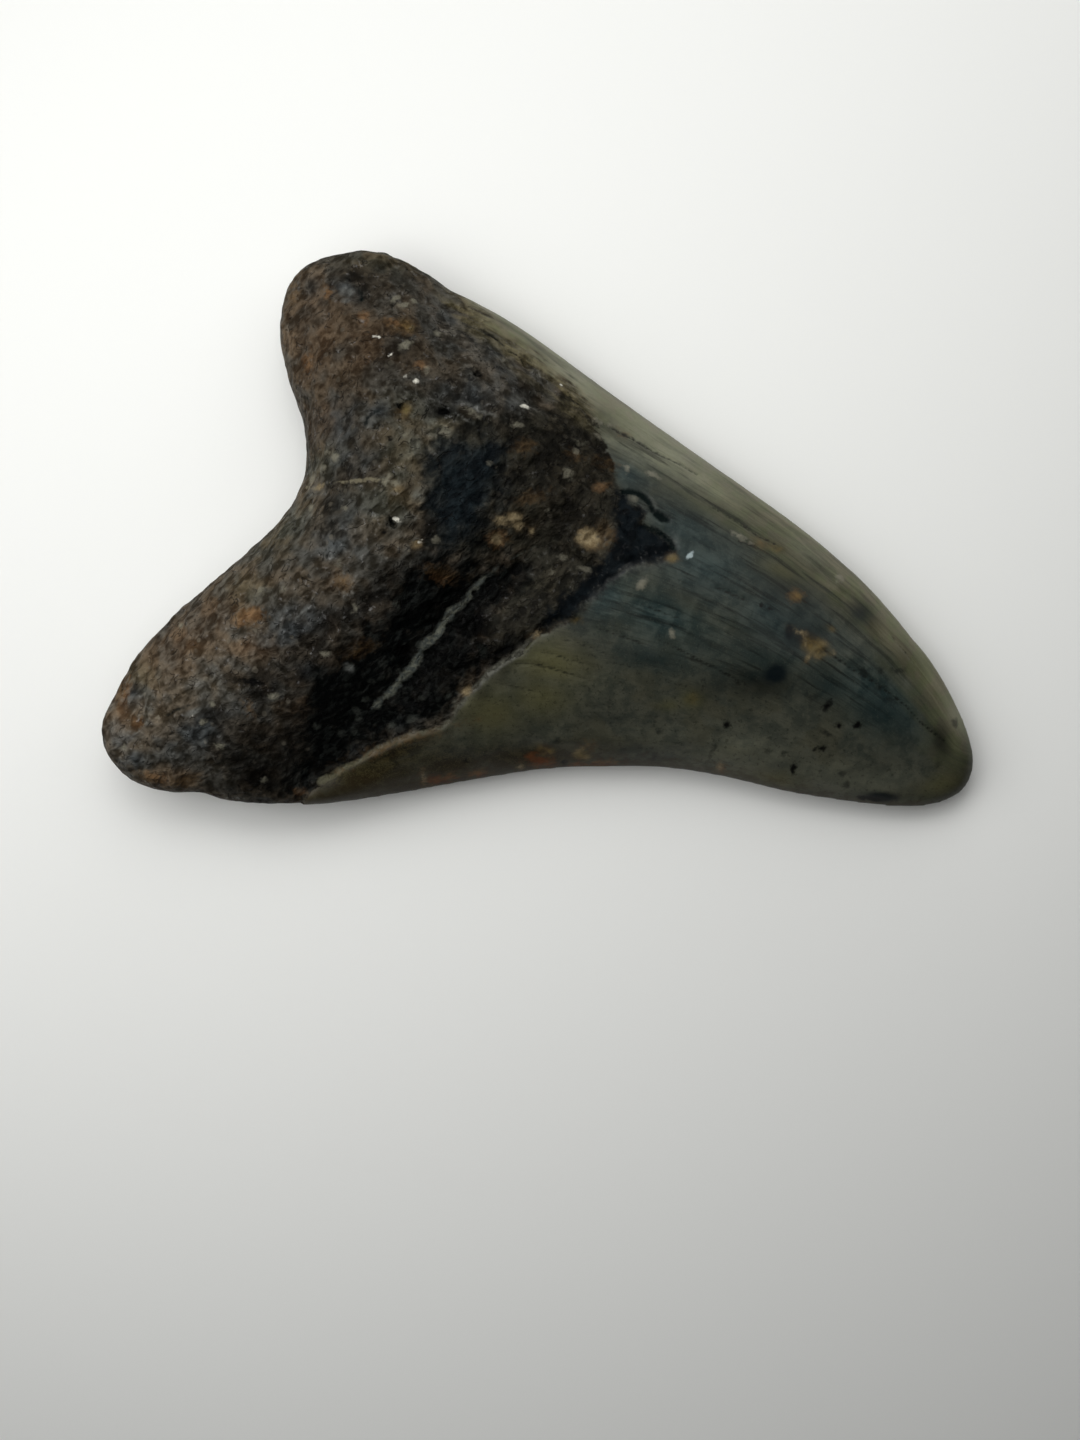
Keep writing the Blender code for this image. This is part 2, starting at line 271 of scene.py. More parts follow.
# %% Points of the skin, in millimetres
def read_vectors(items, count, key):
    """Read one vector for each point of a mesh into rows."""
    flat = np.empty(count * 3, np.float32)
    items.foreach_get(key, flat)
    return flat.reshape(-1, 3).astype(float)


points = read_vectors(skin.vertices, len(skin.vertices), "co") / MM
normals = read_vectors(skin.vertex_normals, len(skin.vertices), "vector")
print("highest point", round(float(points[:, 2].max()), 2), "mm")

# %% [markdown]
# ### Lines and patches
# A line gives its distance, its own width there and the side that a point lies
# on. A stroke is a set of lines with a width of their own. A patch is a closed
# line, with its inside below zero.

# %% Distances to lines and patches
CHUNK = 4000
UNREACHED = 99.0


def gap_to_line(places, line):
    """Distance to a line, the width written along it, and the side (+1 on its left)."""
    line = np.asarray(line, float)
    starts, ends = line[:-1], line[1:]
    along = ends - starts
    length = (along[:, :2] ** 2).sum(axis=1)
    distance, width, side = np.empty(len(places)), np.zeros(len(places)), np.empty(len(places))
    for first in range(0, len(places), CHUNK):
        some = places[first:first + CHUNK, None, :2] - starts[None, :, :2]
        share = np.clip((some * along[:, :2]).sum(axis=2) / length, 0.0, 1.0)
        away = some - share[:, :, None] * along[:, :2]
        gap = np.sqrt((away ** 2).sum(axis=2))
        best = gap.argmin(axis=1)
        rows = np.arange(len(best))
        part = slice(first, first + len(best))
        distance[part] = gap[rows, best]
        side[part] = np.sign(along[best, 0] * away[rows, best, 1] - along[best, 1] * away[rows, best, 0])
        if line.shape[1] > 2:
            width[part] = line[best, 2] + share[rows, best] * (line[best + 1, 2] - line[best, 2])
    return distance, width, side


def signed_gap(places, line):
    distance, _, side = gap_to_line(places, line)
    return distance * side


def gap_to_stroke(places, *lines):
    """Distance to the painted edge of some lines (x, y, half width), below zero on one."""
    gap = np.full(len(places), UNREACHED)
    for line in lines:
        distance, width, _ = gap_to_line(places, line)
        gap = np.minimum(gap, distance - width)
    return gap


def gap_to_patch(places, corners):
    """Distance to the border of a closed patch, below zero inside. A point is inside when
    a ray from it towards +X crosses the border an odd number of times."""
    loop = corners + corners[:1]
    distance, _, _ = gap_to_line(places, loop)
    inside = np.zeros(len(places), bool)
    for (x0, y0), (x1, y1) in zip(loop[:-1], loop[1:]):
        if y0 != y1:
            crosses = (y0 > places[:, 1]) != (y1 > places[:, 1])
            at = x0 + (places[:, 1] - y0) * (x1 - x0) / (y1 - y0)
            inside ^= crosses & (places[:, 0] < at)
    return np.where(inside, -distance, distance)


print("measures: line, stroke, patch")

# %% [markdown]
# ### Ovals and clouds
# Ovals are small marks. Each has a place and a half length, and where they are
# needed a half width, a tilt in degrees and a strength. Clouds are the same
# ovals, but soft. Where clouds meet, the stronger one wins, or they add up.

# %% Distances to ovals, and soft clouds
def full_oval(x, y, long, short=None, tilt=0.0, strength=1.0):
    return x, y, long, long if short is None else short, tilt, strength


def reach_of(places, x, y, long, short, tilt):
    """How far out a point lies in an oval: 1 on its rim."""
    cosine, sine = math.cos(math.radians(tilt)), math.sin(math.radians(tilt))
    east, north = places[:, 0] - x, places[:, 1] - y
    return np.hypot((east * cosine + north * sine) / long, (north * cosine - east * sine) / short)


def gap_to_ovals(places, ovals):
    gap = np.full(len(places), UNREACHED)
    for oval in ovals:
        *shape, _ = full_oval(*oval)
        gap = np.minimum(gap, (reach_of(places, *shape) - 1.0) * min(shape[2], shape[3]))
    return gap


def clouds(places, ovals, join=np.maximum):
    """Soft ovals, at full strength in the middle of each and fading to 0."""
    cloud = np.zeros(len(places))
    for oval in ovals:
        *shape, strength = full_oval(*oval)
        cloud = join(cloud, strength * np.exp(-reach_of(places, *shape) ** 2))
    return cloud


print("measures: ovals, clouds")

# %% [markdown]
# ### Which way is up
# The tooth has two faces. The lingual one, towards the tongue, lies up and takes
# all the marks. The labial one, towards the lip, lies on the table. How far a
# point's normal leans up tells the two apart.

# %% Share of the lingual face, and random lumps
LUMP_FALLOFF = 0.9
OCTAVE_STEP = 2.1


def ease(low, high, value):
    share = np.clip((value - low) / (high - low), 0.0, 1.0)
    return share * share * (3.0 - 2.0 * share)


def lumps(places, size, layer, octaves=3):
    """Smooth random bumps of about this size, around zero. Each layer has its own."""
    return np.array([
        noise.fractal(Vector((x / size, y / size, z / size + layer)), LUMP_FALLOFF, OCTAVE_STEP, octaves)
        for x, y, z in places])


lingual = ease(-0.15, 0.15, normals[:, 2])
ragged = lumps(points, 1.7, 5.0)
print("face up:", round(100 * float(lingual.mean())), "% of the skin")

# %% [markdown]
# ### The edge of the enamel
# On the lingual face the enamel ends along a ragged chevron whose point reaches
# far down the crown. On the labial face it ends in a plain bow. The two lines
# meet at the cutting edges, so one signed distance can serve both faces.

# %% Signed distance to the enamel's edge
LINGUAL_EDGE = [
    (-12.4, 33), (-11.4, 31), (-10.1, 28.8), (-8.2, 26.5), (-6.4, 24.6), (-4.6, 23.3), (-3.2, 22.1),
    (-1.4, 20.9), (0.8, 19.6), (2.6, 18.5), (3.9, 17), (5.1, 15), (6.4, 13.5), (7.4, 11.9), (8.4, 10.1),
    (9, 8.6), (9.5, 6.4), (9.7, 4.6), (10.7, 3.6), (11.4, 2.4), (13, 1.8), (13.5, 0.9), (12.9, 0),
    (13.8, -0.7), (15.5, -1.4), (16.7, -2.6), (17.1, -3.9), (15.6, -4.8), (13.6, -5.2), (11.3, -5.6),
    (9.7, -6.6), (8.3, -7.9), (7, -9.2), (5.8, -10.7), (4.4, -12.2), (2.5, -13.2), (0.6, -14.1),
    (-1, -15.2), (-2.4, -16.5), (-3.6, -17.4), (-4.9, -18.1), (-6.5, -19.3), (-7.8, -20.6), (-9.3, -22.1),
    (-10.5, -23.6), (-11.4, -24.9), (-12.5, -26), (-14.1, -26.4), (-16.5, -27), (-18.6, -27.8),
    (-20.9, -28.9), (-23, -30.3), (-25.1, -31.3), (-26.9, -32.4), (-28.6, -33.4), (-30, -34.6),
    (-32.5, -37.5),
]
LABIAL_EDGE = [
    (-12.4, 33), (-11, 28), (-8.6, 20), (-7, 11), (-6.6, 2), (-8.5, -8), (-13, -17), (-19.5, -25),
    (-26.5, -32), (-32.5, -37.5),
]
lingual_gap = signed_gap(points, LINGUAL_EDGE) + 0.28 * ragged
labial_gap = signed_gap(points, LABIAL_EDGE) + 0.6 * ragged
enamel_gap = labial_gap + (lingual_gap - labial_gap) * lingual
print("enamel covers", round(100 * float((enamel_gap > 0).mean())), "% of the skin")

# %% [markdown]
# ### Along and across the crown
# Enamel has fine streaks that start at the root and draw together at the tip. A
# number that runs from 0 at one cutting edge to 1 at the other does the same, so
# a noise stretched along its level lines makes the streaks. The distal edge is
# the hollow one, the mesial edge the long bulging one.

# %% Crown coordinates
DISTAL_EDGE = [
    (-32, -36.1), (-28.2, -35.8), (-19.5, -34.6), (-10.5, -33), (0.5, -31.3), (8.5, -31), (16.5, -31.1),
    (24.5, -32.3), (32.5, -34.2), (40.5, -35.5), (47, -36.2), (51.8, -36),
]
MESIAL_EDGE = [
    (56.4, -26.5), (53.7, -20.7), (49.2, -13.9), (43, -6.8), (34.3, 0.7), (21.9, 9.5), (10.3, 17.7),
    (-1.6, 26.3), (-11.5, 31.3),
]
TIP = (57.0, -32.0)
TINY = 1e-6

from_distal = gap_to_line(points, DISTAL_EDGE)[0]
from_mesial = gap_to_line(points, MESIAL_EDGE)[0]
across_crown = from_distal / np.maximum(from_distal + from_mesial, TINY)
from_tip = np.hypot(points[:, 0] - TIP[0], points[:, 1] - TIP[1])
print("crown is", round(float(from_tip[enamel_gap > 0].max())), "mm long at most")

# %% [markdown]
# ### Seams and rims
# A pale seam runs from the bourlette down the dark flank, and a second pale line
# marks the broken rim of the enamel. A hairline crosses the neck of the root.
# Each has a half width at each of its points, because a real seam swells and
# thins out.

# %% Pale lines
# Each point: x, y, half width.
SEAM = [
    (-0.5, -2.9, -0.16), (-2.8, -4.2, -0.1), (-5, -5.2, -0.04), (-7.3, -7.3, 0.14), (-8.6, -8.7, 0.24),
    (-9.2, -9.9, 0.24), (-10, -10.5, 0.3), (-11.3, -11.3, 0.48), (-12.3, -13, 0.44), (-13, -14, 0.56),
    (-14.3, -15.1, 0.46), (-15.2, -16.4, 0.42), (-15.9, -18.1, 0.52), (-17.3, -19.4, 0.46),
    (-18.2, -20.5, 0.34), (-19.5, -21.9, 0.42), (-20.6, -22.9, 0.32), (-21.4, -23.4, 0.1),
]
RIM = [
    (-0.8, -14.4, 0.12), (-2.2, -15.9, 0.26), (-3.4, -17.1, 0.38), (-4.7, -17.8, 0.42), (-6.3, -19, 0.4),
    (-7.6, -20.3, 0.36), (-9.2, -21.8, 0.3), (-10.3, -23.3, 0.28), (-11.3, -24.7, 0.28),
    (-12.4, -25.9, 0.28), (-14.1, -26.3, 0.3), (-16.5, -26.9, 0.32), (-18.6, -27.6, 0.34),
    (-20.9, -28.7, 0.34), (-23, -30.1, 0.3), (-25.1, -31, 0.36), (-26.9, -32.1, 0.48), (-28.6, -33, 0.46),
]
HAIRLINE = [
    (-29.8, 4.7, 0.16), (-28.4, 4.3, 0.22), (-27.4, 4.6, 0.12), (-24.4, 4.6, 0.1), (-22.4, 4.6, 0.18),
    (-21, 4.7, 0.24), (-20, 4.6, 0.2), (-19.2, 4.4, 0.12),
]
gaps = {
    "seam": gap_to_stroke(points, SEAM) + 0.16 * ragged,
    "rim": gap_to_stroke(points, RIM) - 0.20 * np.abs(ragged) + 0.06,
    "hair": gap_to_stroke(points, HAIRLINE),
}
print(len(gaps), "pale lines")

# %% [markdown]
# ### Cracks and grooves
# The cracks of the enamel follow its streaks, because that is how enamel splits.
# A half width below zero leaves only the soft border of a line, so that it fades
# out before it ends. The grooves are short dark bows, some beside pits of the root
# and some along the point of the enamel's chevron.

# %% Dark lines
CRACKS = [
    [(7.8, 13.4, 0.1), (9, 12.7, 0.14), (10.9, 11.8, 0.22), (12.5, 10.9, 0.16), (15, 9.5, 0.14),
     (17.5, 8.3, 0.08), (20.4, 6.8, 0.04)],
    [(22, -8.2, 0.06), (23.3, -8.7, 0.15), (24.8, -9.3, 0.15), (26.6, -10, 0.06)],
    [(14.5, -14.7, 0.04), (17.2, -15.8, 0.1), (20, -17.3, 0.16), (22.3, -18.4, 0.14), (24.5, -19.5, 0.12),
     (26.6, -20.6, 0.06)],
    [(36.1, -15.9, 0.08), (38.2, -17.3, 0.15), (40.6, -18.9, 0.12), (43.1, -20.2, 0.08),
     (45.5, -21.8, 0.1), (47.5, -23.3, 0.13), (49.2, -25, 0.12), (51.2, -26.6, 0.14), (53.1, -27.9, 0.06)],
    [(22, 2.4, 0.05), (24.4, 1, 0.1), (26.6, -0.3, 0.14), (28.6, -1.6, 0.1), (30.4, -2.3, 0.04)],
    [(25, -2, 0.05), (26.6, -2.5, 0.1), (28.4, -3.2, 0.04)],
    [(-3, -17.8, 0.04), (-0.3, -17.9, 0.07), (2.6, -18.7, 0.08), (5, -19.5, 0.05), (7.5, -20.3, -0.04)],
    [(-0.8, -16.3, 0.02), (1, -16.5, 0.05), (2.6, -16.9, 0.06), (6, -17.9, 0.02), (9, -19, -0.06)],
    [(-5.6, -20.2, 0), (-3.4, -20.6, 0.04), (-1, -21.2, 0.02), (1.5, -22, -0.08)],
    [(2.4, -14.8, -0.02), (4.6, -15.2, 0.05), (7.4, -16.2, 0.06), (10.2, -17.3, -0.04)],
    [(7, -13.3, 0.08), (10, -14.4, 0.1), (13.5, -15.6, 0.05)],
    [(12.5, -10.2, 0.06), (14.8, -11.3, 0.1), (17.6, -12.3, 0.05)],
    [(-7.6, 25.1, 0.14), (-6, 24.2, 0.2), (-4.6, 23, 0.14), (-2.6, 21.6, 0.1), (-1.6, 20.2, 0.06)],
    [(3.6, 17.2, 0.08), (4.6, 15.6, 0.12), (5.6, 14.4, 0.06)],
    [(-15.5, -27.8, -0.08), (-18, -28.7, 0.02), (-20.4, -29.8, 0.04), (-22.5, -31.2, 0.02),
     (-24.6, -32.1, -0.08)],
    [(-13, -28.4, -0.1), (-17, -29.6, -0.02), (-19.6, -30.9, -0.02), (-21.8, -32.3, -0.1)],
    [(45.6, -13.6, -0.06), (46.4, -14.6, 0.02), (47.4, -15.9, 0.02), (48.3, -17.1, 0.04),
     (49.2, -18.3, -0.06)],
]
GROOVES = [
    [(10.5, 3.9, 0.3), (12.2, 3.9, 0.36), (13.2, 3.3, 0.4), (13.9, 2.5, 0.38), (14.3, 1.5, 0.34)],
    [(14.7, 1.1, 0.44), (15.5, 0.5, 0.58), (16.1, 0.3, 0.4)],
    [(13.2, -0.6, 0.2), (15.2, -1.4, 0.28), (16.4, -2.4, 0.3), (16.8, -3.4, 0.24)],
    [(-21.7, 11.3, 0.14), (-21.5, 12.5, 0.22), (-20.8, 13.1, 0.2), (-19.9, 13.3, 0.1)],
    [(-18.6, 0.1, 0.08), (-18.4, -0.5, 0.2), (-17.9, -1.1, 0.22)],
    [(-17.9, 13.6, 0.08), (-17.4, 14.1, 0.2), (-16.9, 14.3, 0.14)],
    [(-23.2, 30.6, 0.1), (-22.9, 29.6, 0.16), (-22.7, 28.5, 0.16)],
    [(-47.4, -24.4, 0.1), (-45.8, -23.5, 0.12), (-44.5, -23.1, 0.06)],
]
gaps["crack"] = gap_to_stroke(points, *CRACKS)
gaps["groove"] = gap_to_stroke(points, *GROOVES)
print(len(CRACKS) + len(GROOVES), "dark lines")

# %% [markdown]
# ### Grains
# Burial leaves grains of many kinds in a tooth. White sand is stuck in pits, pale
# chips are all over the root, and cream crystals sit in a few clusters. A few of
# the white marks are painted highlights instead, such as the crescent on the rim
# of the big pit. They could be scattered at random, but the ones that catch the
# eye have their places.

# %% Ovals of white, pale and cream
# Each oval: x, y and half length, then half width and tilt where it isn't round.
SPOTS = {
    # (-1.9, 14.5), (-17.5, -0.35), (-44.2, -24.4) and (18.9, -4.2) are painted highlights, not grains.
    "white": [
        (-1.9, 14.5, 0.58, 0.32, -6), (-15.5, 17.3, 0.32), (-16.8, 18, 0.26, 0.2, 60),
        (-18.7, 20.8, 0.26, 0.2, 40), (-18.45, 21.3, 0.13), (-20.8, 23.3, 0.22, 0.16, 20),
        (-20.2, 23.1, 0.18), (2.7, 18, 0.2), (-14.8, -2.9, 0.18, 0.14, 20),
        (-17.5, -0.35, 0.46, 0.18, -35), (-44.2, -24.4, 0.2), (18.9, -4.2, 0.52, 0.24, 50),
    ],
    "pale": [
        (12.85, -7.8, 0.66, 0.46, 50), (-24.1, 1.2, 0.3), (-28.9, 1.8, 0.24, 0.4), (-31.2, -34.1, 0.36),
        (1, 1.2, 0.26), (-16.9, 22.2, 0.7, 0.5, 25), (-18.4, 28.7, 0.6, 0.45, 60),
        (-17.6, 27.6, 0.65, 0.3, 10), (-16.2, 28.4, 0.32), (-14.2, 18.9, 0.36), (-29.2, 5.6, 0.3, 0.7),
        (-27.4, 6.6, 0.36), (-25.8, 8, 0.45, 0.55), (-26.8, 8.7, 0.28), (-19.2, 4.3, 0.3),
        (-18.5, 5, 0.3), (-17.9, 4.1, 0.34), (-16.7, 10.2, 0.45, 0.2, 15), (-15.6, 13.2, 0.26),
        (3.4, 6.1, 0.55, 0.7), (5, 10.3, 0.62, 0.26, -18), (7.2, 11.2, 0.34, 0.6, 30), (7, 13.5, 0.32),
        (7.9, 13.2, 0.26), (8.8, 12.9, 0.24), (4.6, 9.1, 0.34), (-23.4, -23.9, 0.38, 0.75, 10),
        (-23.9, -26.4, 0.6, 0.45, 30), (-25.6, -26.6, 0.6, 0.45), (-28.4, -25.8, 0.36),
        (-23.9, -18.1, 0.36), (-26.8, -16.8, 0.4), (-20.1, -12.5, 0.26), (-22.8, -11.2, 0.4, 0.26, 60),
        (-21, -14.3, 0.26), (-18, -10.6, 0.4), (-33.4, -22, 0.6, 0.4), (-42.8, -25.2, 0.26),
        (-53.5, -28.5, 0.4), (-46, -12.9, 0.3), (-35.8, -32.8, 0.4), (-41.5, -23, 0.26),
        (-40.6, -28.2, 0.5, 0.35), (-11.7, -21.9, 0.36, 0.24, 20), (-15, -22.2, 0.3), (-14.3, -21.5, 0.3),
        (-16.3, -24.8, 0.42, 0.26, 30), (-19, -25.8, 0.46, 0.36, 30), (-10.8, -22.8, 0.42, 0.3, 40),
        (-20, -17.8, 0.4), (-19.2, -18.6, 0.3), (-20, -19.5, 0.36), (-17.9, -18.9, 0.3),
        (-21.3, -20, 0.3), (-18.7, -17, 0.26), (-22.3, -22.4, 0.4, 0.22, 20), (-14.9, -15.7, 0.36),
        (-17.3, -21.3, 0.22), (12.1, 2.9, 0.55, 0.35, -10), (14, 6.4, 0.66, 0.28, -20), (11.1, 7, 0.34),
        (25.7, -1.5, 0.95, 0.24, -22), (38.9, -6.5, 0.6, 0.5), (16.7, -14.2, 0.36, 0.6, 20),
        (-12.9, 24.1, 0.3), (-9, 13.9, 0.6, 0.2, -25), (-7.6, 13, 0.7, 0.2, -20), (-2.9, 12.1, 0.5, 0.3),
        (-6.2, 7, 0.28), (-13, -2.6, 0.3), (2.8, -4.5, 0.4, 0.2, -20), (5.6, -6.2, 0.5, 0.26, -20),
        (1.4, -6.3, 0.4), (-24.9, -5.6, 0.3), (-31.9, -8.6, 0.4), (-35, -8.7, 0.4),
    ],
    "cream": [
        (6.1, -2.2, 1.35, 1.1, -20), (5, -2.2, 0.4, 0.44, 30), (16.7, -4.6, 0.36, 0.26),
        (-0.5, -14.2, 0.34, 0.22, 25), (-4.7, -0.2, 0.74, 0.6), (-3.2, 0.2, 0.86, 0.6),
        (-2.7, -0.6, 0.6, 0.48), (-1, -1.2, 0.24), (-5.4, -2.4, 0.66, 0.6), (-9.3, -21.4, 0.52, 0.46, 40),
        (-16.6, 13.3, 0.22, 0.5, -30), (-15.3, -3.3, 0.44, 0.36, 40), (-27.8, 4.4, 0.3),
        (33.2, -13.8, 0.46, 0.16, -20), (35, -15.8, 0.5, 0.22, 30), (36.3, -15.2, 0.22, 0.16),
        (34.2, -16.9, 0.34, 0.2, 50), (35.3, -16.8, 0.26, 0.16), (37.4, -16.4, 0.18),
        (33.9, -15.2, 0.16, 0.4, 12), (5, -29, 0.6, 0.34, 40), (6, -29.6, 0.34, 0.22),
        (-15.2, -32.3, 0.2, 0.5), (23.6, -30.9, 0.26, 0.4), (-2.6, -30.9, 0.3, 0.22),
        (-17.6, 3.4, 0.3, 0.2),
    ],
}
print(sum(len(ovals) for ovals in SPOTS.values()), "grains")

# %% [markdown]
# ### Rust
# Iron left rust on the bone, with a core of orange in places. A rust spot could
# be one oval that fades, but two laid over each other give it a core and a halo.

# %% Ovals of rust and orange
SPOTS["rust"] = [
    (-24.4, -7.9, 1.3, 1, -50), (-12, -6.9, 1.9, 0.8, -12), (-27, 29.6, 0.5, 0.8, 20),
    (4.4, 8.5, 0.8, 0.45, -20), (8.4, 7.5, 0.9, 0.45, -20), (-1.2, 2.9, 1.4, 0.6, 20),
    (-2.2, 9.3, 1.2, 0.8), (8.2, -1.7, 1.1, 1.5), (-36.6, -12.2, 2, 1.2, 10), (-17.2, 13, 0.36, 0.3),
    (-5.2, -2.4, 1, 0.85, 20), (32.8, -9.1, 0.9, 0.6), (28.3, -2.4, 0.8, 0.5, -20),
    (0.2, -30.4, 1.6, 0.75, -8), (0.6, -28.9, 0.9, 0.5, -30), (8, -30.3, 1.6, 0.4),
    (-14.3, -32.7, 1.2, 0.7, 5), (-12, -32.3, 1.2, 0.6, 5), (-8.3, -31.7, 0.9, 0.5, 8),
    (-20.3, -28.8, 1.6, 0.22, 28), (-16.5, -27.3, 2.2, 0.16, 16), (-50.6, -32.5, 1.5, 0.6, -18),
    (-46, -32.8, 1.2, 0.5, 15), (-52, -25.5, 1, 0.9), (-54.2, -21, 0.6, 1.6, -12),
    (-31.3, -34.5, 0.6, 0.5), (-22.6, -16.3, 1.6, 0.6, 25), (-31.8, 30.4, 0.6, 1, -20),
    (-17.6, 24.6, 1.5, 0.9, -20), (-36.8, -23.5, 0.4, 0.7, 20), (10.8, 12, 0.6, 0.45, -20),
    (6.6, -28, 0.6, 0.4),
]
SPOTS["orange"] = [
    (-36.1, -11.8, 1.3, 0.8, -6), (-37.4, -12.6, 0.8, 0.5, 20), (0.1, -30.2, 1.3, 0.6, -6),
    (-1.2, -29.6, 0.5, 0.35), (7.8, -30.5, 1.5, 0.26, -3), (4.9, -30.6, 0.7, 0.3),
    (-14, -32.6, 0.9, 0.35, 5), (-12.2, -32.4, 0.6, 0.26), (-8.3, -31.8, 0.6, 0.3, 8),
    (24, -31.3, 0.45, 0.26), (-29.7, 20.7, 0.45, 1.15, 5), (-22.4, 26, 0.52, 0.62),
    (-27.1, 29.5, 0.42, 0.55), (-49.6, -32.4, 0.9, 0.38, -18), (-51.6, -25.4, 0.75, 0.6),
    (-53.5, -21.6, 0.4, 1.4, -12), (-14.9, 19.4, 0.6, 0.45), (7.8, 4.4, 0.7, 0.46, -6),
    (-5.5, -2.4, 1.15, 1), (-18.4, 25, 0.5, 0.3, -20), (-31.2, -34.3, 0.36, 0.3),
    (-12.4, -7.4, 0.8, 0.4, -12),
]
print(len(SPOTS["rust"]), "rust spots,", len(SPOTS["orange"]), "orange ones")

# %% [markdown]
# ### Holes
# Roots and worms etched small holes, black where they are deep and grey-brown
# where they are shallow. Most are only as wide as two or three squares of the
# net, so their colour does more than their depth: the black of the deep ones is
# partly painted shade.

# %% Ovals of deep and shallow holes
SPOTS["hole"] = [
    (-7.9, 18.6, 0.58, 0.44, -20), (-17.6, 14, 0.42, 0.26, -30), (-1.8, 15.4, 0.24, 0.16),
    (-18.6, 27.6, 0.28, 0.2), (-18.6, 9.9, 0.36, 0.2, -20), (-24.4, 31.4, 0.4, 0.16, -35),
    (28.1, -10.4, 0.34), (36.6, -23.2, 1, 0.42, 50), (38.4, -25.7, 0.6, 0.44), (40.8, -25.7, 0.52),
    (35.6, -28.6, 0.28), (36.5, -28.6, 0.34), (33, -31.1, 0.42, 0.78, 6), (24, -25.5, 0.52, 0.46),
    (-9.6, -30, 0.3, 0.36), (-26, -32.9, 0.45, 0.22, 35), (3.2, -30.3, 0.42, 0.34),
    (10.6, 1.2, 0.55, 0.34), (-18.5, -26.9, 0.75, 0.24, 12), (-19.9, -27.3, 0.45, 0.2, 10),
    (2, 7.2, 0.95, 0.26, -8), (-8.3, -9, 0.3, 0.6, 30), (-17.2, -16.3, 1.1, 0.7, -10),
    (-3, -6, 0.7, 0.9, -35), (43.7, -35.1, 1.6, 0.3, -6), (20.9, -20.6, 0.2),
    (25.3, -20.2, 0.4, 0.2, -30), (34, -15, 0.32, 0.22), (-35.9, -20.3, 1.4, 0.4, -10),
    (-19, -1.8, 0.28, 0.18), (29.3, -11, 0.4, 0.1, -25),
]
SPOTS["soft_hole"] = [
    (41.3, -18.8, 0.62, 0.48, -10), (43.8, -18.8, 0.55, 0.4), (46.3, -18.7, 0.9, 0.36, 8),
    (34.5, -22, 0.6, 0.38, -20), (54.3, -25.5, 0.5), (52.2, -30.8, 0.55, 0.45), (40, -33.3, 0.45),
    (39.3, -31.7, 0.34), (36.9, -26.6, 0.5, 0.3), (10.7, -28.4, 0.3, 0.5), (2.5, -27.5, 0.46, 0.34),
    (8.9, -22.8, 0.26, 0.6), (14.9, -29.5, 0.36, 0.5), (43.8, -20.9, 0.7, 0.3),
    (45.2, -22.4, 0.6, 0.3, -20), (-7.2, -16.3, 0.6, 0.8), (31.5, -29.2, 0.5, 0.4), (15.6, -26.4, 0.4),
    (29.5, -28.9, 0.4), (22.6, -28.6, 0.36, 0.8, -15),
]
for name, ovals in SPOTS.items():
    gaps[name] = gap_to_ovals(points, ovals)
print(len(SPOTS["hole"]) + len(SPOTS["soft_hole"]), "holes")

# %% [markdown]
# ### Patches
# Larger areas took up more or less of the minerals around them. The flank of the
# root beside the enamel is soot black, its own colour deepened by painted shade,
# the point of the chevron navy, the middle of the bourlette blue-black, and the
# rest of it dark brown.

# %% Closed outlines
PATCHES = {
    "soot": [
        (-37.5, -34.8), (-33, -31.4), (-31.2, -28), (-30.2, -24), (-30, -20), (-26.4, -17.2),
        (-22.8, -14.2), (-20.2, -11.8), (-18.8, -9), (-17, -5.8), (-14.4, -3.8), (-10.5, -4.6),
        (-6.2, -5.2), (-3, -4.4), (-0.8, -5.8), (-2.2, -8), (-5, -10.2), (-6.9, -13), (-7.9, -15.6),
        (-5.8, -16), (-2.4, -15.2), (0.2, -12.6), (1.4, -12.4), (0, -14), (-3.6, -16.6), (-6.6, -18.6),
        (-9.6, -22.2), (-12.2, -25.4), (-16, -26.4), (-21, -28.6), (-26, -31.6), (-31, -35),
    ],
    "navy": [
        (9.2, -1), (9.4, 2), (9.5, 4.2), (10.6, 3.6), (11.3, 2.4), (13, 1.8), (13.5, 1), (12.8, 0.2),
        (13.8, -0.7), (15.4, -1.4), (16.5, -2.4), (17.1, -3.8), (15.4, -5.2), (13, -5.8), (11, -6.4),
        (9.7, -7.5), (7.6, -8.9), (5.6, -10.6), (3.4, -12.2), (1, -13), (0.6, -11.8), (2.6, -9.8),
        (4.6, -8), (6.6, -6), (8.2, -4.2),
    ],
    "blue": [
        (-14.2, 8.2), (-12, 9.4), (-9, 9.6), (-6, 10.4), (-3.4, 9), (-4.4, 6), (-4.8, 3), (-6.2, 0.2),
        (-7.6, -2.8), (-10.5, -5), (-13.4, -4.8), (-14.2, -1.5), (-14.4, 3.6),
    ],
    "bourlette": [
        (-14.4, 8), (-12.6, 11), (-8, 12.8), (-4, 12.6), (0, 14.2), (3.6, 17), (5.6, 15), (9, 10),
        (11, 6), (15, 2), (17.2, -3.8), (13, -5.5), (9.6, -7), (5, -12), (-2.4, -16.4), (-6, -18.6),
        (-8, -13), (-5, -9.6), (-1, -6), (-4, -4.4), (-10, -5), (-14.2, -4.2), (-14.4, 2),
    ],
}
for name, corners in PATCHES.items():
    gaps[name] = gap_to_patch(points, corners)
soot_share = float(((gaps["soot"] < 0) & (lingual > 0.5)).mean())
print("soot covers", round(100 * soot_share), "% of the skin")
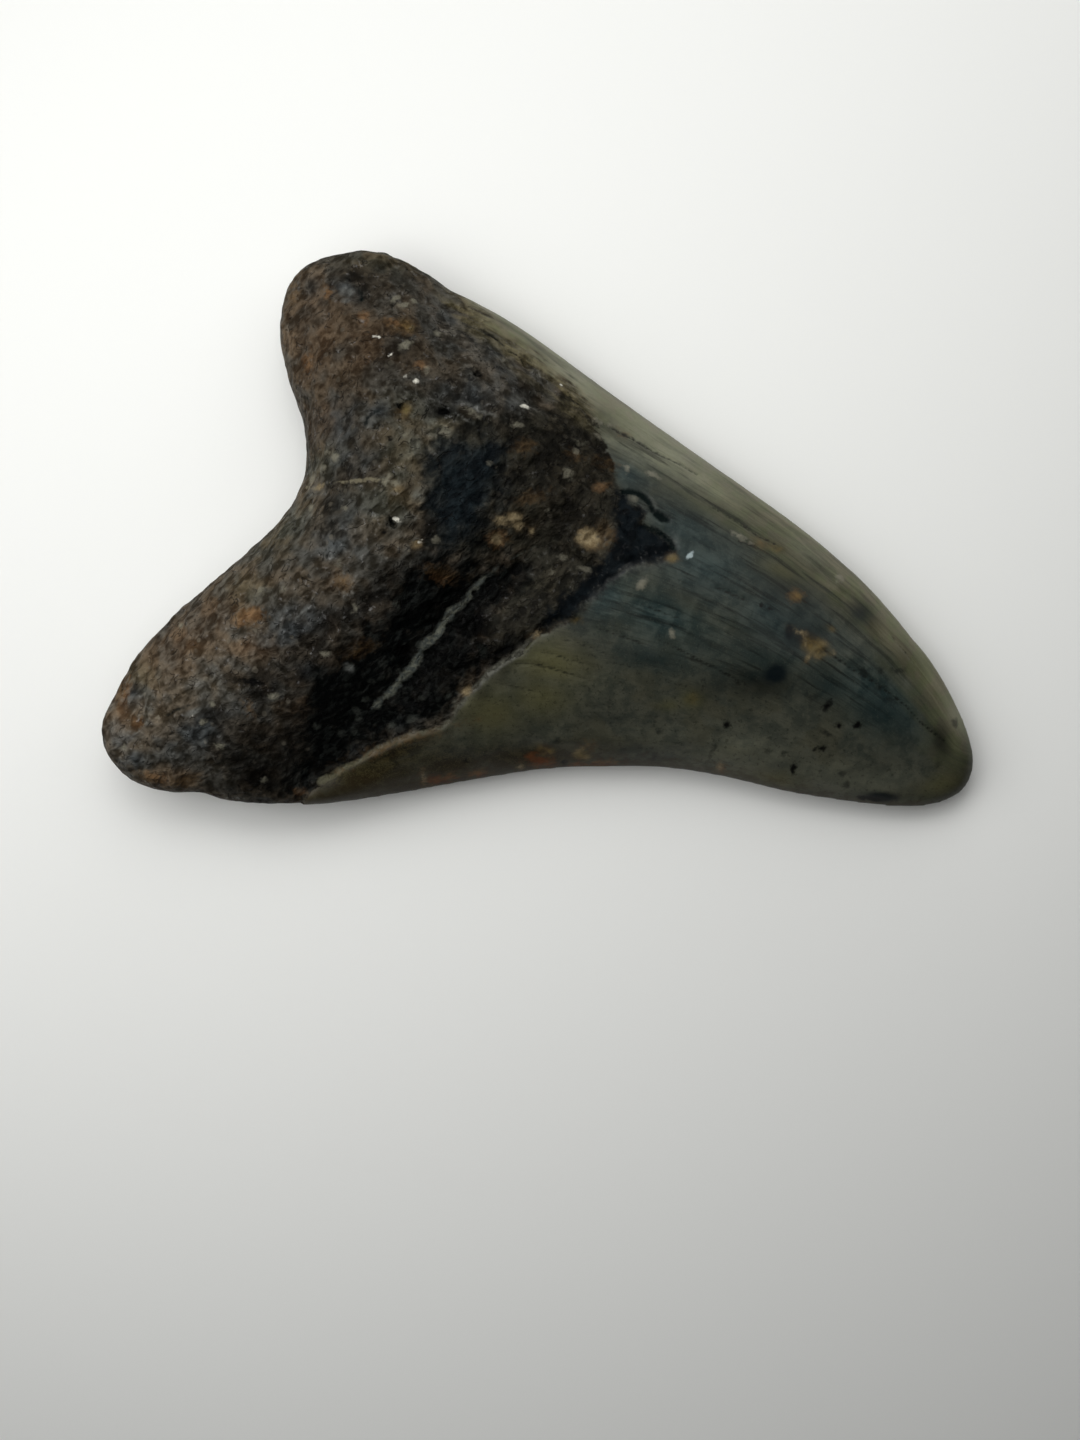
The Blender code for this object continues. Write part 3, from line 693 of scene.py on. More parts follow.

# %% [markdown]
# ### Stains of the root
# Stains have no edge. Dusk is painted shade over hollows and the dark flank,
# warm, olive and slate tint the bone, frost is a pale bloom on it with a painted
# highlight on the far lobe, and ochre is a yellow crust round some grains.

# %% Soft ovals on the root
# As before, with a strength as the sixth number where it isn't 1.
STAINS = {
    "dusk": [
        (-24, 32.2, 3.4, 1.6), (-9, 15.4, 3.4, 1.8, -10, 0.7), (-22, -10.2, 3.4, 2.8, 35),
        (-26.5, 1.5, 2.4, 2), (-35, -19.5, 3.4, 2, 30), (-41.5, -24.5, 2.6, 1.2, 10),
        (-39, -30, 4, 1.6, -10), (-22.5, 29.6, 0.7, 1.6), (-29, -27, 13, 6, 35), (-18, -14, 11, 5, 42),
        (6.5, 10.2, 4.2, 1.9, -48), (8.9, 8.3, 1.5, 1, -30), (-5, -8, 5, 2.4, 35), (2, 8.6, 6, 3, 20),
        (-7, 11.5, 5, 2, 0, 0.5), (4, 1, 5, 5, 0, 0.8), (3.8, -10.8, 1.4, 1), (-1, -10.6, 4, 1.6, 38),
        (-38, -20, 3.5, 1, -12), (-25.5, -13.6, 5, 4, 35, 0.75), (-19.6, -8.6, 3.6, 2.8, 45, 0.8),
        (-31, -18.6, 4, 3.4, 40, 0.65), (-38, -30, 6, 3, -5, 0.6), (-18, 22, 4.4, 5.4, 0, 0.36),
        (-20, 32, 4, 2.4, 0, 0.45), (-22, 8, 3.4, 7, 0, 0.26), (-17, -4, 2.4, 2, 40, 0.3),
        (-20, -28, 3, 1.2, 25, 0.9),
    ],
    "warm": [
        (-28.5, 24.5, 5, 9), (-22, 22, 5), (-46, -15.5, 8, 3, 35), (-40, -11, 6, 3, 30),
        (-53.5, -22, 2.2, 5, -15), (-49, -32.5, 4, 1.4, 10, 0.7), (-25, -7.8, 2, 1.4, 0, 0.6),
        (-27.5, 13, 3.5, 3), (3, 3.5, 7, 5), (-13, -7, 2.4, 1.2, 10), (-30, -24.5, 2.4, 3.4),
        (-22, -15.5, 3, 1.4, 30), (-5, -14, 3, 1.6, 35), (-36, -16, 4, 1.6),
    ],
    "olive": [
        (-17, 8, 3.4, 6.5), (-16, 13, 3), (-19, 2, 4, 3.4), (-33, -1, 5, 3, 40), (-37, -8.5, 3, 2),
        (-27.5, 7.5, 2.6, 2.2), (-52, -19.5, 3, 2), (-24, -21.2, 1.6, 0.8), (-20, 34, 6, 1.6),
        (-12, 12, 3, 2),
    ],
    "slate": [
        (-10.5, 25, 3), (-7, 22, 5, 3.4, -35), (-8, 15.5, 6, 2.6, -15), (-29.5, 30.8, 1.6, 1.4),
        (-24.2, 30, 3.2, 1.8, -10), (-25, -2, 4.4, 3.4, 20), (-30.5, -13.5, 4.4, 3.4, 25),
        (-43, -26.5, 6, 3, 20), (-52.5, -21.2, 1.6), (-53.4, -27, 1.8, 1.4), (-52.6, -30.2, 2, 1.2),
        (-23, 6.5, 3, 2), (-20, 13.3, 1.4, 1), (-29, -19, 1.6, 1.2), (-17.8, -25, 1.6, 1),
        (-25.2, -29.4, 2.4, 1.2, 25), (-14.8, -24, 1.4, 1), (-24.5, 12.5, 2, 3.5),
    ],
    # Frost is a pale bloom; the first, strongest oval is a painted highlight.
    "frost": [
        (-24.6, 29.7, 1, 0.6, 10, 1.3), (-24.8, 28.5, 0.7, 0.4), (-21.2, 12, 1.5, 0.8, -20),
        (-7.8, 14, 2.6, 0.35, -22), (-9.6, 12.8, 2, 0.3, -30), (-23.9, -18.4, 0.6),
        (-44, -24, 1.4, 0.4, 20), (-33.2, -22, 1.4, 0.6, 10), (-29.6, -11.8, 1.2, 0.4, 50),
    ],
    "ochre": [
        (35.2, -15.8, 2, 1.5, -20, 0.8), (16.6, -4.7, 0.9, 0.6, 0, 0.9), (32.8, -9.2, 1, 0.7, 0, 0.8),
        (30.8, -2.8, 1.5, 0.8, -20, 0.7), (4.6, -12.5, 1.3, 0.6, 0, 0.5), (5.4, -29.4, 1.3, 0.8, 0, 0.8),
        (19.4, -22.2, 1, 0.9, 0, 0.5), (-16.7, 13.6, 1, 1, 0, 0.7), (37.2, -13.2, 1.2, 0.6, -20, 0.5),
        (0.8, -28.8, 1.6, 0.9, -30, 0.6), (-17, 24.8, 1.4, 1, -20, 0.5),
    ],
}
print(len(STAINS), "kinds of stain on the root")

# %% [markdown]
# ### Stains of the enamel
# The cloud is the blue-grey of thick enamel, deep and teal are darker spots in
# it. Yellow and umber tint the thin enamel of the near edge, and gleam whitens
# the edges, partly as polish and partly as painted sheen. Haze and fray soften its
# border with the root: it melts away under the haze, and splinters along its
# streaks under the fray.

# %% Soft ovals on the enamel
STAINS |= {
    "teal": [
        (29.9, -19.1, 1.75, 1.35, 20), (31.7, -13.8, 0.6, 1.2), (45, -34.9, 2.4, 0.7, -4),
    ],
    "deep": [
        (27, -19.3, 3, 1.5), (32, -14.6, 1.6, 2), (44.2, -24, 5, 3.2, -25), (27.5, -17, 5, 2.6, -12),
        (14.5, -17.2, 6, 1.8, -10), (36.5, -20.5, 4, 2.4, -20), (41.6, -11.2, 1.7, 1.4),
        (30, -8.6, 4.5, 2.6, -25, 0.6), (16.5, 0.4, 3.6, 2.2, -30, 0.5), (15, -8, 3, 1.5, 0, 0.35),
        (28, -13.6, 3.4, 1.8, -20, 0.5), (26.5, -3.6, 2.6, 1.4, -25, 0.35),
        (50, -24.5, 2.6, 1.6, -60, 0.35), (22, -11, 3, 1, -20, 0.3), (29.5, -19, 8, 2.4, -15, 0.5),
        (33.5, -12.8, 3.6, 2.6, -25, 0.5), (17, 3.6, 3, 1.4, -30, 0.35), (56, -28.5, 1.4, 2, 0, 0.35),
        (26, -18.4, 8, 2.8, -12, 0.72), (33, -13.2, 3.6, 3, -30, 0.65), (33, -8.8, 3, 2.2, -30, 0.42),
        (24, -2.6, 3.2, 1.8, -30, 0.42), (52.4, -27, 1.2, 2.4, 15, 0.45),
        (12.2, 3.4, 2.2, 1.2, -20, 0.95), (14.8, 0.6, 1.6, 1.2, 0, 0.6),
        (19.6, -8.4, 2.6, 1.4, -10, 0.35),
    ],
    "cloud": [
        (20, -5, 9, 5, -28), (31, -13, 9, 4, -24), (11.5, 6, 3, 2.2, -30), (18.5, -1, 6, 3.4, -30),
        (8.5, -10, 4.5, 2.6, 38), (44, -22, 8, 4, -30), (15, -12, 8, 3.4, -18),
    ],
    "haze": [
        (15, -4.5, 5, 4), (6, -10, 5, 3, 40), (12.5, 4.5, 4, 3),
    ],
    "fray": [
        (-8.5, 27, 6, 3.6, -40), (-2, 21.8, 7, 3, -33), (4, 17, 5, 2.6, -45),
    ],
    "yellow": [
        (19.4, -22.2, 1.5, 1.2), (16.6, -22.9, 1.6, 0.8, 0, 0.7), (1, -17.5, 5, 3, -15), (0, -22, 4, 2.6),
        (-6, -24, 4, 3), (31, -32.6, 3, 0.9, -12), (53, -33.3, 3, 1.5, 20), (-7, 26.4, 3.4, 1.4, -35),
        (31, -6, 3, 1.2, -20), (53, -23.5, 1.2, 1.8), (29, -2.4, 2, 1, -20), (-22, -31.5, 4, 1.4, 10),
    ],
    "gleam": [
        (16.5, 10, 9, 2.6, -35, 0.55), (3.5, 19.4, 5, 2.4, -40, 0.78), (12, 8.4, 3, 1.2, -40, 0.2),
        (55, -24.6, 3, 1.4, -60, 0.5), (41, -32.8, 8, 2, -8, 0.22), (30, -31, 5, 1.2, -4, 0.12),
        (26, -29.6, 7, 2.6, -2, 0.2), (35.5, -3.6, 4, 1.4, -38, 0.3),
    ],
    "umber": [
        (-19.5, -29.6, 7, 1.5, 26), (-22, -32, 9, 3, 12), (-2, -29.8, 9, 1.8), (-12, -31, 6, 2.4, 5),
        (-15, -33.4, 11, 2, 8), (4, -31.8, 9, 1.6),
    ],
}
stains = {name: clouds(points, ovals) for name, ovals in STAINS.items()}
print(len(stains), "kinds of stain in all")

# %% [markdown]
# ### Wear and warmth
# Some clouds may be below zero, and add up where they meet. Worn tells where
# handling has polished the root: the near lobe more, the far one less. Warmth
# tips the bone to brown above zero and to slate below it.

# %% Signed clouds
SIGNED_STAINS = {
    "worn": [(-46, -19, 12, 9, 35), (-17, 20, 13, 13, 0, -0.9)],
    "warmth": [
        (-22.5, -9.8, 4.5, 3.2, 40, -0.9), (-29, -8.8, 2.4, 1.4, 0, -0.6), (-15, -0.4, 1.6, 2.2, 0, -0.8),
        (-33, -21.2, 3.6, 2, 0, -0.7), (-36, -31.5, 5, 2.2, 0, -0.8), (-53, -22.5, 1.1, 1.6, 0, -0.7),
        (-50, -19, 2, 0.9, 30, -0.6), (-41.4, -13.4, 1.4, 1.2, 0, -0.7), (-38, -8, 1.4, 1.4, 0, -0.4),
        (-28, -17.5, 3, 1, -20, -0.5), (-23, 11.5, 1.6, 1.4, 0, -0.6), (-4, 1.4, 2, 1.2, 30, -0.7),
        (-22.5, 31.6, 2.4, 1.2, 0, -0.5), (-8, 12.4, 3, 1.2, -20, -0.5), (-22, -5.5, 2.6, 1.4, 20, -0.5),
        (-31.6, 25, 1, 2, 0, 0.8), (-26.2, 22.4, 1.6, 1.1, 0, 0.8), (-22.6, 14.4, 1.5, 1.3, 0, 1),
        (-15.2, 14, 1.2, 2.8, 0, 0.8), (-16.4, 18, 1, 1.4, 0, 0.8), (-14.4, 27, 2, 1.1, 0, 0.6),
        (-20.6, 28, 1.4, 0.9, 0, 0.7), (-16.6, 32.4, 2, 1, -30, 0.8), (-21.6, 3.2, 1.5, 1.4, 0, 0.8),
        (-37.5, -13, 2.6, 1, 15, 0.8), (-49.6, -22.8, 1.4, 1.6, 30, 0.5), (-42, -19.2, 2, 2, 0, 0.4),
        (-54.4, -19.4, 1, 2.4, -25, 1.2), (-29.6, 33, 2.6, 1.2, 30, 0.6), (-30.6, 21, 0.9, 2, 0, 0.6),
    ],
}
print(len(SIGNED_STAINS["warmth"]), "warm and cool places")

# %% [markdown]
# ### Tone
# Last of the stains, tone makes whatever lies under it lighter or darker. A
# noise alone would spread light and dark evenly, so each lighter and darker place
# is listed here one by one.

# %% Light and dark places
SIGNED_STAINS["tone"] = [
    (-20.6, -9.2, 3.4, 1.4, 54, -0.5), (-25.2, -12.4, 3, 1.4, 20, -0.4),
    (-14.4, -1.8, 1.6, 2.4, -10, -0.55), (-28, -17, 2.8, 1.3, -20, -0.6),
    (-33.6, -21, 3.4, 1.3, 25, -0.5), (-37.6, -27.4, 3, 2.4, 30, -0.45), (-36, -32, 4, 2, 0, -0.4),
    (-5, -8.4, 2, 1.1, 30, -0.55), (-7.6, -13.4, 2.8, 1.5, -50, -0.6), (-45, -24.2, 1, 0.8, 0, -0.45),
    (34, -14.8, 1.6, 1.4, 0, -0.3), (26.5, -20, 5, 1.6, 0, -0.28), (42, -11.4, 1.4, 2.2, 40, -0.4),
    (52, -27.6, 1.4, 2.4, 20, -0.32), (-1, 16.4, 2.6, 1.1, -20, -0.5), (-11.8, 13.4, 1.3, 1, 0, -0.5),
    (-3, 13.2, 1.4, 1.1, 0, -0.45), (-3, 17, 1.3, 1.1, 0, -0.4), (1.9, 18, 1.2, 1.8, -40, -0.35),
    (-17.2, 21.6, 1.2, 1.7, 20, -0.5), (-15.8, 24.2, 1.6, 1.2, 0, -0.4),
    (-20.4, 30.6, 1.6, 2.2, 20, -0.42), (-17, 32, 2.4, 1, -30, -0.3), (-25, 3.6, 1.4, 3, 10, -0.42),
    (-33.6, -3.4, 2, 1.2, 40, -0.38), (-29.4, 10.4, 0.9, 2, 0, -0.38), (-53.4, -25.2, 2.2, 2.4, 0, 0.9),
    (-49.4, -24.4, 2, 1.6, 0, 0.5), (-44.4, -28.4, 2, 1.4, 0, 0.5), (-41, -20.8, 2.8, 1.1, 20, 0.5),
    (-35.6, -16.4, 3, 1.4, -10, 0.5), (-37, -12.4, 2.2, 1, 10, 0.4), (-51.6, -20, 1.2, 1, 0, 0.45),
    (-28.6, 1.2, 2, 1.1, 25, 0.9), (-23, -1.8, 3, 1.4, 20, 0.35), (-12.5, 10.5, 1.7, 1.7, 0, 2.2),
    (-15.2, 8, 1.8, 1.2, 0, 0.7), (-14.8, 2.2, 1.3, 0.9, 0, 0.9), (-18, 3.8, 0.9, 1.4, 20, 0.8),
    (-16.2, -3.2, 1.2, 1.2, 0, 1.4), (-22.9, -9.2, 1.8, 1.9, 20, 1), (-43.8, -15.4, 1.4, 1, 0, 0.5),
    (-5.6, 9.2, 1.6, 1, 0, 0.5), (5.2, 15.4, 1.6, 0.9, -50, 0.6), (-23.8, -26.6, 1, 0.9, 0, 0.9),
    (-12.4, 13.2, 2.2, 1.2, 0, -0.85), (-8.6, 15.2, 1.2, 0.7, -20, -0.45),
    (-11.4, 24.6, 1.5, 1.1, 0, 0.7), (-8.2, 20.6, 2.8, 1.8, -30, 0.45), (-6.2, 15.8, 1.7, 1.2, -20, 0.9),
    (-27.4, 23.2, 1, 1.4, 0, 0.45), (-25.6, 18.8, 1.7, 0.9, 0, 0.45), (-32.6, 23.4, 0.9, 1.8, 0, 0.8),
    (9, 11, 2.2, 1, -20, 0.6), (14, 8.6, 4, 0.9, -32, 0.38), (23, 4, 6, 0.9, -34, 0.3),
    (8.2, -1.6, 1.4, 1.6, 20, 0.7), (0, -8.8, 1.2, 1.4, 0, 0.45), (-19.6, 19, 1.6, 1.2, 20, -0.35),
    (-18.8, 12.4, 1.4, 1.2, 0, -0.35), (-21.8, 11.8, 1.2, 1, 0, -0.3), (-30, -19.6, 1.4, 1.2, 0, -0.45),
    (-42, -33.6, 3, 0.9, 0, -0.4), (-3.4, -7.6, 1.6, 0.9, 30, -0.35), (4.6, -12.2, 2.6, 1.4, 0, -0.4),
    (-18.4, -1.6, 1.3, 1, 0, -0.4), (-1.6, -9.2, 3, 1.4, 10, 0.45), (-1.6, -11.4, 2.4, 1, 30, 0.35),
    (13, -25.8, 6, 1.6, -4, 0.15), (26, -26.6, 9, 1.6, -5, 0.18), (24, -11.6, 7, 2.2, -18, 0.14),
    (-6.4, -20.8, 2.2, 1, 0, 0.2), (51, -20, 1, 2.4, 30, 0.25), (12.6, 4.8, 2.8, 2.2, -40, -0.3),
    (15, -4.8, 3.4, 1.2, 0, -0.34), (20.5, -2.4, 4.4, 3, -20, -0.14), (19.6, -9, 2.8, 2, 0, -0.24),
    (33.5, -12, 3.4, 6, 0, -0.24), (29, -20.8, 4.4, 1.6, 0, -0.36), (20.8, -21.4, 2.2, 1.8, 0, -0.3),
    (36, -23, 1.8, 1.3, 0, -0.22), (52.6, -27.6, 1.3, 3, 15, -0.34), (42.4, -10.4, 2.2, 1.6, -40, -0.22),
    (47.6, -16.4, 1.4, 2.2, 20, -0.22), (-6.4, -17.2, 2.2, 2, 0, -0.75),
    (-2.8, -15.6, 2.6, 1.4, 30, -0.5), (-7.4, -21.4, 1.4, 1.2, 0, -0.5),
    (-22.4, -10.8, 3.6, 1.5, 20, -0.5), (-36.4, -33.4, 3.4, 2.4, 0, -0.45),
    (-27.4, -33.8, 2.8, 1.2, 20, -0.4), (-22, -29.8, 3, 1.1, 20, -0.35), (-8, 9.4, 4.6, 2.2, 0, 0.35),
    (-9.6, -6.2, 1.8, 1.4, 0, 0.9), (-16.6, -14.6, 2.4, 1.3, 0, 1.3), (-19.6, -18.2, 2, 2.4, 0, 0.7),
    (-10.4, -21.4, 1.8, 1.4, 0, 0.9), (-30.6, -34.2, 1.8, 1.4, 0, 0.7), (-29.6, -30.6, 2.2, 1.6, 0, 0.6),
    (-54.4, -29.2, 1.5, 1.5, 0, 0.55), (8.4, -2.2, 1.7, 3.4, 0, 1), (2.4, -18, 3.2, 1.8, 0, 0.16),
    (-39.6, -7.4, 3, 1.4, 30, 0.24), (-29.8, 5, 1.2, 2, 0, 0.45), (-16, 4.2, 1.1, 1.6, 0, -0.45),
    (-20.4, 4.5, 1, 1.8, 0, -0.35), (-13.3, -1.4, 1.3, 1.8, 0, -0.4), (-23.9, 28.6, 1.9, 1.1, -30, -0.4),
    (-16.4, 28.8, 1.2, 1.1, 0, -0.4), (-27, 32, 1.7, 1.1, 0, 0.5), (-21, -28, 3.4, 1.4, 26, -0.5),
    (-12.6, -19, 4.4, 3, 45, -0.45), (-36.5, -28.6, 4.6, 4.4, 0, -0.3),
    (-34.4, -21.4, 2.6, 1.6, 20, -0.35), (-9, -13, 3.4, 1.8, 50, -0.45), (34.2, -14.7, 2.8, 1.5, 0, -0.3),
    (27.5, -13, 4.6, 2.4, -20, -0.2), (31, -8.2, 3.4, 1.6, -20, -0.16), (6, -15.2, 3.6, 2.2, 0, -0.14),
    (49, -18, 1.6, 4.6, 32, -0.08), (-54, -19.6, 1.6, 2.4, -25, 0.14), (-29.4, 31.6, 2, 1.6, 30, 0.12),
    (-28.2, 3, 2, 2.6, 0, 0.12), (-27.6, 21.6, 3.4, 5, 0, -0.09), (-14.6, 19.8, 2.6, 3.4, 0, -0.08),
    (28, -13.6, 3, 2, -20, -0.14), (31, -8.4, 2.4, 1.2, -20, -0.1), (22, -6, 2.4, 1.6, -20, 0.08),
    (35.2, -15.6, 2.4, 1.6, -20, -0.2), (5.4, -16, 3, 1.6, 0, -0.08), (33, -9, 2, 1.4, -20, -0.12),
    (-16, 33.4, 2, 0.9, -35, -0.14), (-33.2, 25.6, 0.8, 2, 0, 0.2),
]
for name, ovals in SIGNED_STAINS.items():
    stains[name] = clouds(points, ovals, np.add)
print("tone from", round(float(stains["tone"].min()), 2), "to", round(float(stains["tone"].max()), 2))

# %% [markdown]
# ## Carving
# Now the skin moves along its own normals. The bare root is lumpy at three sizes
# and the enamel nearly flat. The knobs are lumps without their sign, so that
# they stand as rounded heads with creases between them. The flanks are calmer,
# because rolling has worn them. This could be sculpted with a brush, but then
# a change to the solid below would mean doing it all again.

# %% Lumps
KNOB_FLOOR = 0.2
FLANK_CALM = 0.14

bare = 1.0 - ease(-0.25, 0.25, enamel_gap)
calm = FLANK_CALM + (1.0 - FLANK_CALM) * np.abs(normals[:, 2])
knobs = np.abs(lumps(points, 2.8, 9.0, 2)) - KNOB_FLOOR
lift = bare * calm * (0.34 * lumps(points, 4.2, 0.0) + 0.50 * knobs + 0.24 * lumps(points, 1.5, 7.0, 2))
lift += (1.0 - bare) * 0.03 * lumps(points, 4.0, 3.0, 2)
print("lumps from", round(float(lift.min()), 2), "to", round(float(lift.max()), 2), "mm")

# %% [markdown]
# The enamel stands proud of the root along its broken rim, so the rim is a ledge.
# Cracks and grooves go in, the seam and the grains stand out, and a few holes
# are deep enough to be round pits.

# %% Ledge, grooves, grains and pits
LEDGE_HEIGHT = 0.30
# Each row: x, y, radius, depth.
PITS = [
    (-18.2, -0.8, 0.5, 0.9), (-17.35, 13.9, 0.5, 0.6), (-20.6, 12, 1, 0.25), (-7.9, 18.6, 0.45, 0.6),
    (-5.3, -2.3, 0.9, 0.25), (6.2, -2.4, 1.2, 0.25), (-23.6, 29.6, 1.4, 0.2), (12.4, 2.4, 1.2, 0.2),
    (-11.5, -7, 1.2, 0.2),
]


def on_mark(name, low, high):
    """1 on a kind of mark and 0 well away from it."""
    return 1.0 - ease(low, high, gaps[name])


ledge = ease(-13.5, -17.5, points[:, 1])
lift += LEDGE_HEIGHT * lingual * ease(-0.22, 0.22, enamel_gap) * ledge
dent = 0.16 * on_mark("crack", -0.10, 0.25) + 0.22 * on_mark("groove", -0.15, 0.20)
dent += (0.06 + 0.24 * bare) * on_mark("hole", -0.25, 0.10)
crest = 0.07 * on_mark("seam", -0.20, 0.30) + 0.10 * on_mark("hair", -0.10, 0.15)
crest += 0.12 * np.maximum(on_mark("white", -0.25, 0.10), on_mark("pale", -0.25, 0.10))
lift += lingual * (crest - dent)
for x, y, radius, depth in PITS:
    gap = np.hypot(points[:, 0] - x, points[:, 1] - y)
    lift -= lingual * depth * (1.0 - ease(0.35 * radius, 1.15 * radius, gap))
print(len(PITS), "pits")

# %% [markdown]
# The lift fades out near the table, so the tooth keeps the flat places it rests
# on. The far lobe also lost a little at its corner, all round.

# %% Move the points
WORN_CORNER = (-19.6, 35.8)
CORNER_RADIUS = 1.3
CORNER_LOSS = 0.12

rest_fade = ease(0.05, 1.2, points[:, 2])
corner_gap = (points[:, 0] - WORN_CORNER[0]) ** 2 + (points[:, 1] - WORN_CORNER[1]) ** 2
corner = CORNER_LOSS * np.exp(-corner_gap / CORNER_RADIUS ** 2)
carved = points + normals * (lift * rest_fade - corner)[:, None]
skin.vertices.foreach_set("co", (carved * MM).astype(np.float32).ravel())
skin.update()
print("carved from", round(float(lift.min()), 2), "to", round(float(lift.max()), 2), "mm")

# %% [markdown]
# ### Fields on the mesh
# A shader reads a named number at each point of a mesh through an Attribute node.
# The marks belong to the lingual face, so the labial face gets a plain value
# instead: far from every mark, and no stain.

# %% Store the fields
FAR = 9.0
FACE_SPLIT = 0.4


def store(name, values, elsewhere=None):
    """Keep a number per point. Elsewhere is what the labial face gets instead."""
    if elsewhere is not None:
        values = elsewhere + (values - elsewhere) * (lingual > FACE_SPLIT)
    layer = skin.attributes.new(name, "FLOAT", "POINT")
    layer.data.foreach_set("value", values.astype(np.float32))


both_faces = {"enamel_gap": enamel_gap, "lingual": lingual, "across": across_crown,
              "from_tip": from_tip, "from_mesial": from_mesial}
for name, gap in gaps.items():
    store(name + "_gap", np.minimum(gap, FAR), FAR)
for name, stain in stains.items():
    store(name, stain, 0.0)
for name, values in both_faces.items():
    store(name, values)
print(len(gaps) + len(stains) + len(both_faces), "fields")

# %% [markdown]
# ## The finish
# Three finishes share one material. They could be three materials side by side,
# but enamel and root meet in splinters and haze, which only a blend can show.
# Each is built from the same few parts: noises at several sizes, the fields
# above, and blends from one colour to the next. Colours are given as a screen
# shows them, because that is how they are judged.

# %% Words for colour
material = bpy.data.materials.new("fossil tooth")
material.use_nodes = True
tree = material.node_tree
tree.nodes.clear()


def field(name):
    """A number that is stored on the mesh."""
    return add_node(tree, "Attribute", {"attribute_name": name}, result="Fac")


def blend(factor, under, over, way="MIX"):
    """Mix two colours. A Mix node has a set of sockets for each kind of value that it can
    mix. The ones for colours are 6 and 7, with the result at 2."""
    settings = {"data_type": "RGBA", "blend_type": way}
    return add_node(tree, "Mix", settings, {0: factor, 6: under, 7: over}, result=2)


def times(under, over):
    return blend(1.0, under, over, "MULTIPLY")


def colour(red, green, blue):
    """A colour as seen on a screen, 0 to 255, turned into light."""
    def light(value):
        value /= 255.0
        return value / 12.92 if value <= 0.04045 else ((value + 0.055) / 1.055) ** 2.4
    return (light(red), light(green), light(blue), 1.0)


def between(share, first, second):
    """From one screen colour to another as the share goes from 0 to 1."""
    return blend(share, colour(*first), colour(*second))


def grey(value):
    return add_node(tree, "CombineColor", None, {"Red": value, "Green": value, "Blue": value})


print("colour words ready, white is", [round(part, 2) for part in colour(255, 255, 255)])

# %% [markdown]
# ### Grain
# One noise never looks like stone, but several do, each about half the size of
# the one before. All but the first are read at a shift, so their patterns differ.

# %% Noises, in spots per millimetre
def speckle(vector, scale, detail=3.0, roughness=0.6, distortion=0.0, shift=None):
    if shift:
        vector = add_node(tree, "VectorMath", {"operation": "ADD"}, {0: vector, 1: shift})
    return add_node(tree, "TexNoise", {"noise_dimensions": "3D"},
                    {"Vector": vector, "Scale": scale, "Detail": detail,
                     "Roughness": roughness, "Distortion": distortion})


place = add_node(tree, "VectorMath", {"operation": "SCALE"},
                 {"Vector": add_node(tree, "TexCoord", result="Object"), "Scale": 1.0 / MM})
broad = speckle(place, 0.20, 3.0, 0.55)
patchy = speckle(place, 0.42, 3.0, 0.58, 0.4, (31.0, 0.0, 0.0))
mottle = speckle(place, 0.85, 2.0, 0.50, 0.3, (0.0, 17.0, 0.0))
grain = speckle(place, 1.9, 1.5, 0.50, 0.2, (0.0, 0.0, 11.0))
dust = speckle(place, 5.0, 2.0, 0.6, 0.0, (7.0, 3.0, 0.0))
shiver = (mottle - 0.5) * 2.6 + (grain - 0.5) * 1.6
print("grain:", len(tree.nodes), "nodes so far")

# %% [markdown]
# ### Strokes
# Old bone is fibrous. A noise on a place that is drawn out along one direction
# runs in strokes, one way along the near lobe and another beside the mesial
# edge. The far lobe is less worn, and its grain has no direction.

# %% Strokes and facets
NEAR_FIBRES = 44.0
FAR_FIBRES = 148.0


def combed(angle, stretch):
    """The place drawn out along one direction, given in degrees."""
    return add_node(tree, "Mapping", {"vector_type": "TEXTURE"}, {
        "Vector": place, "Rotation": (0.0, 0.0, math.radians(angle)), "Scale": (stretch, 1.0, 1.0)})


near_mesial = 1.0 - field("from_mesial").step(8.0, 15.0)
low_strokes = speckle(combed(NEAR_FIBRES, 2.0), 1.30, 1.6, 0.50, 0.3)
high_strokes = speckle(combed(FAR_FIBRES, 2.1), 1.30, 1.6, 0.50, 0.3)
strokes = low_strokes + (high_strokes - low_strokes) * near_mesial
loose_grain = speckle(place, 1.45, 1.6, 0.50, 0.3, (9.0, 5.0, 0.0))
strokes = strokes + (loose_grain - strokes) * (0.0 - field("worn")).step(0.15, 0.70) * 0.75
facets = add_node(tree, "TexVoronoi", {"feature": "SMOOTH_F1"},
                  {"Vector": combed(NEAR_FIBRES, 1.5), "Scale": 0.95, "Smoothness": 0.5},
                  result="Color")
print("strokes:", len(tree.nodes), "nodes so far")

# %% [markdown]
# ### The root
# Fossil bone is never one colour. Brown, olive and slate lie in clouds. One
# relief serves twice: it tints the hollows dark and the tops pale, partly as dirt
# and wear do and partly as painted shade in the hollows and painted sheen on the
# tops, and its parts later drive the bump.

# %% Bone
# Each pair: the hollow colour, with painted shade, then the top colour, with painted sheen.
BONE = (38, 34, 27), (78, 74, 67)
BONE_TINTS = {
    "warm": (0.75, (45, 34, 24), (86, 74, 61)),
    "olive": (0.70, (40, 38, 28), (82, 80, 68)),
    "slate": (0.80, (25, 27, 28), (66, 69, 70)),
}
relief = patchy * 0.34 + mottle * 0.20 + strokes * 0.36 + facets * 0.10


def shaded(hollow, top):
    """Two shades of one colour, the first one in the hollows: painted shade there, and painted sheen on
    the tops.
    """
    return between(relief.step(0.40, 0.60), hollow, top)


stone = shaded(*BONE)
for name, (strength, hollow, top) in BONE_TINTS.items():
    stone = blend(field(name) * strength, stone, shaded(hollow, top))
print("bone:", len(tree.nodes), "nodes so far")
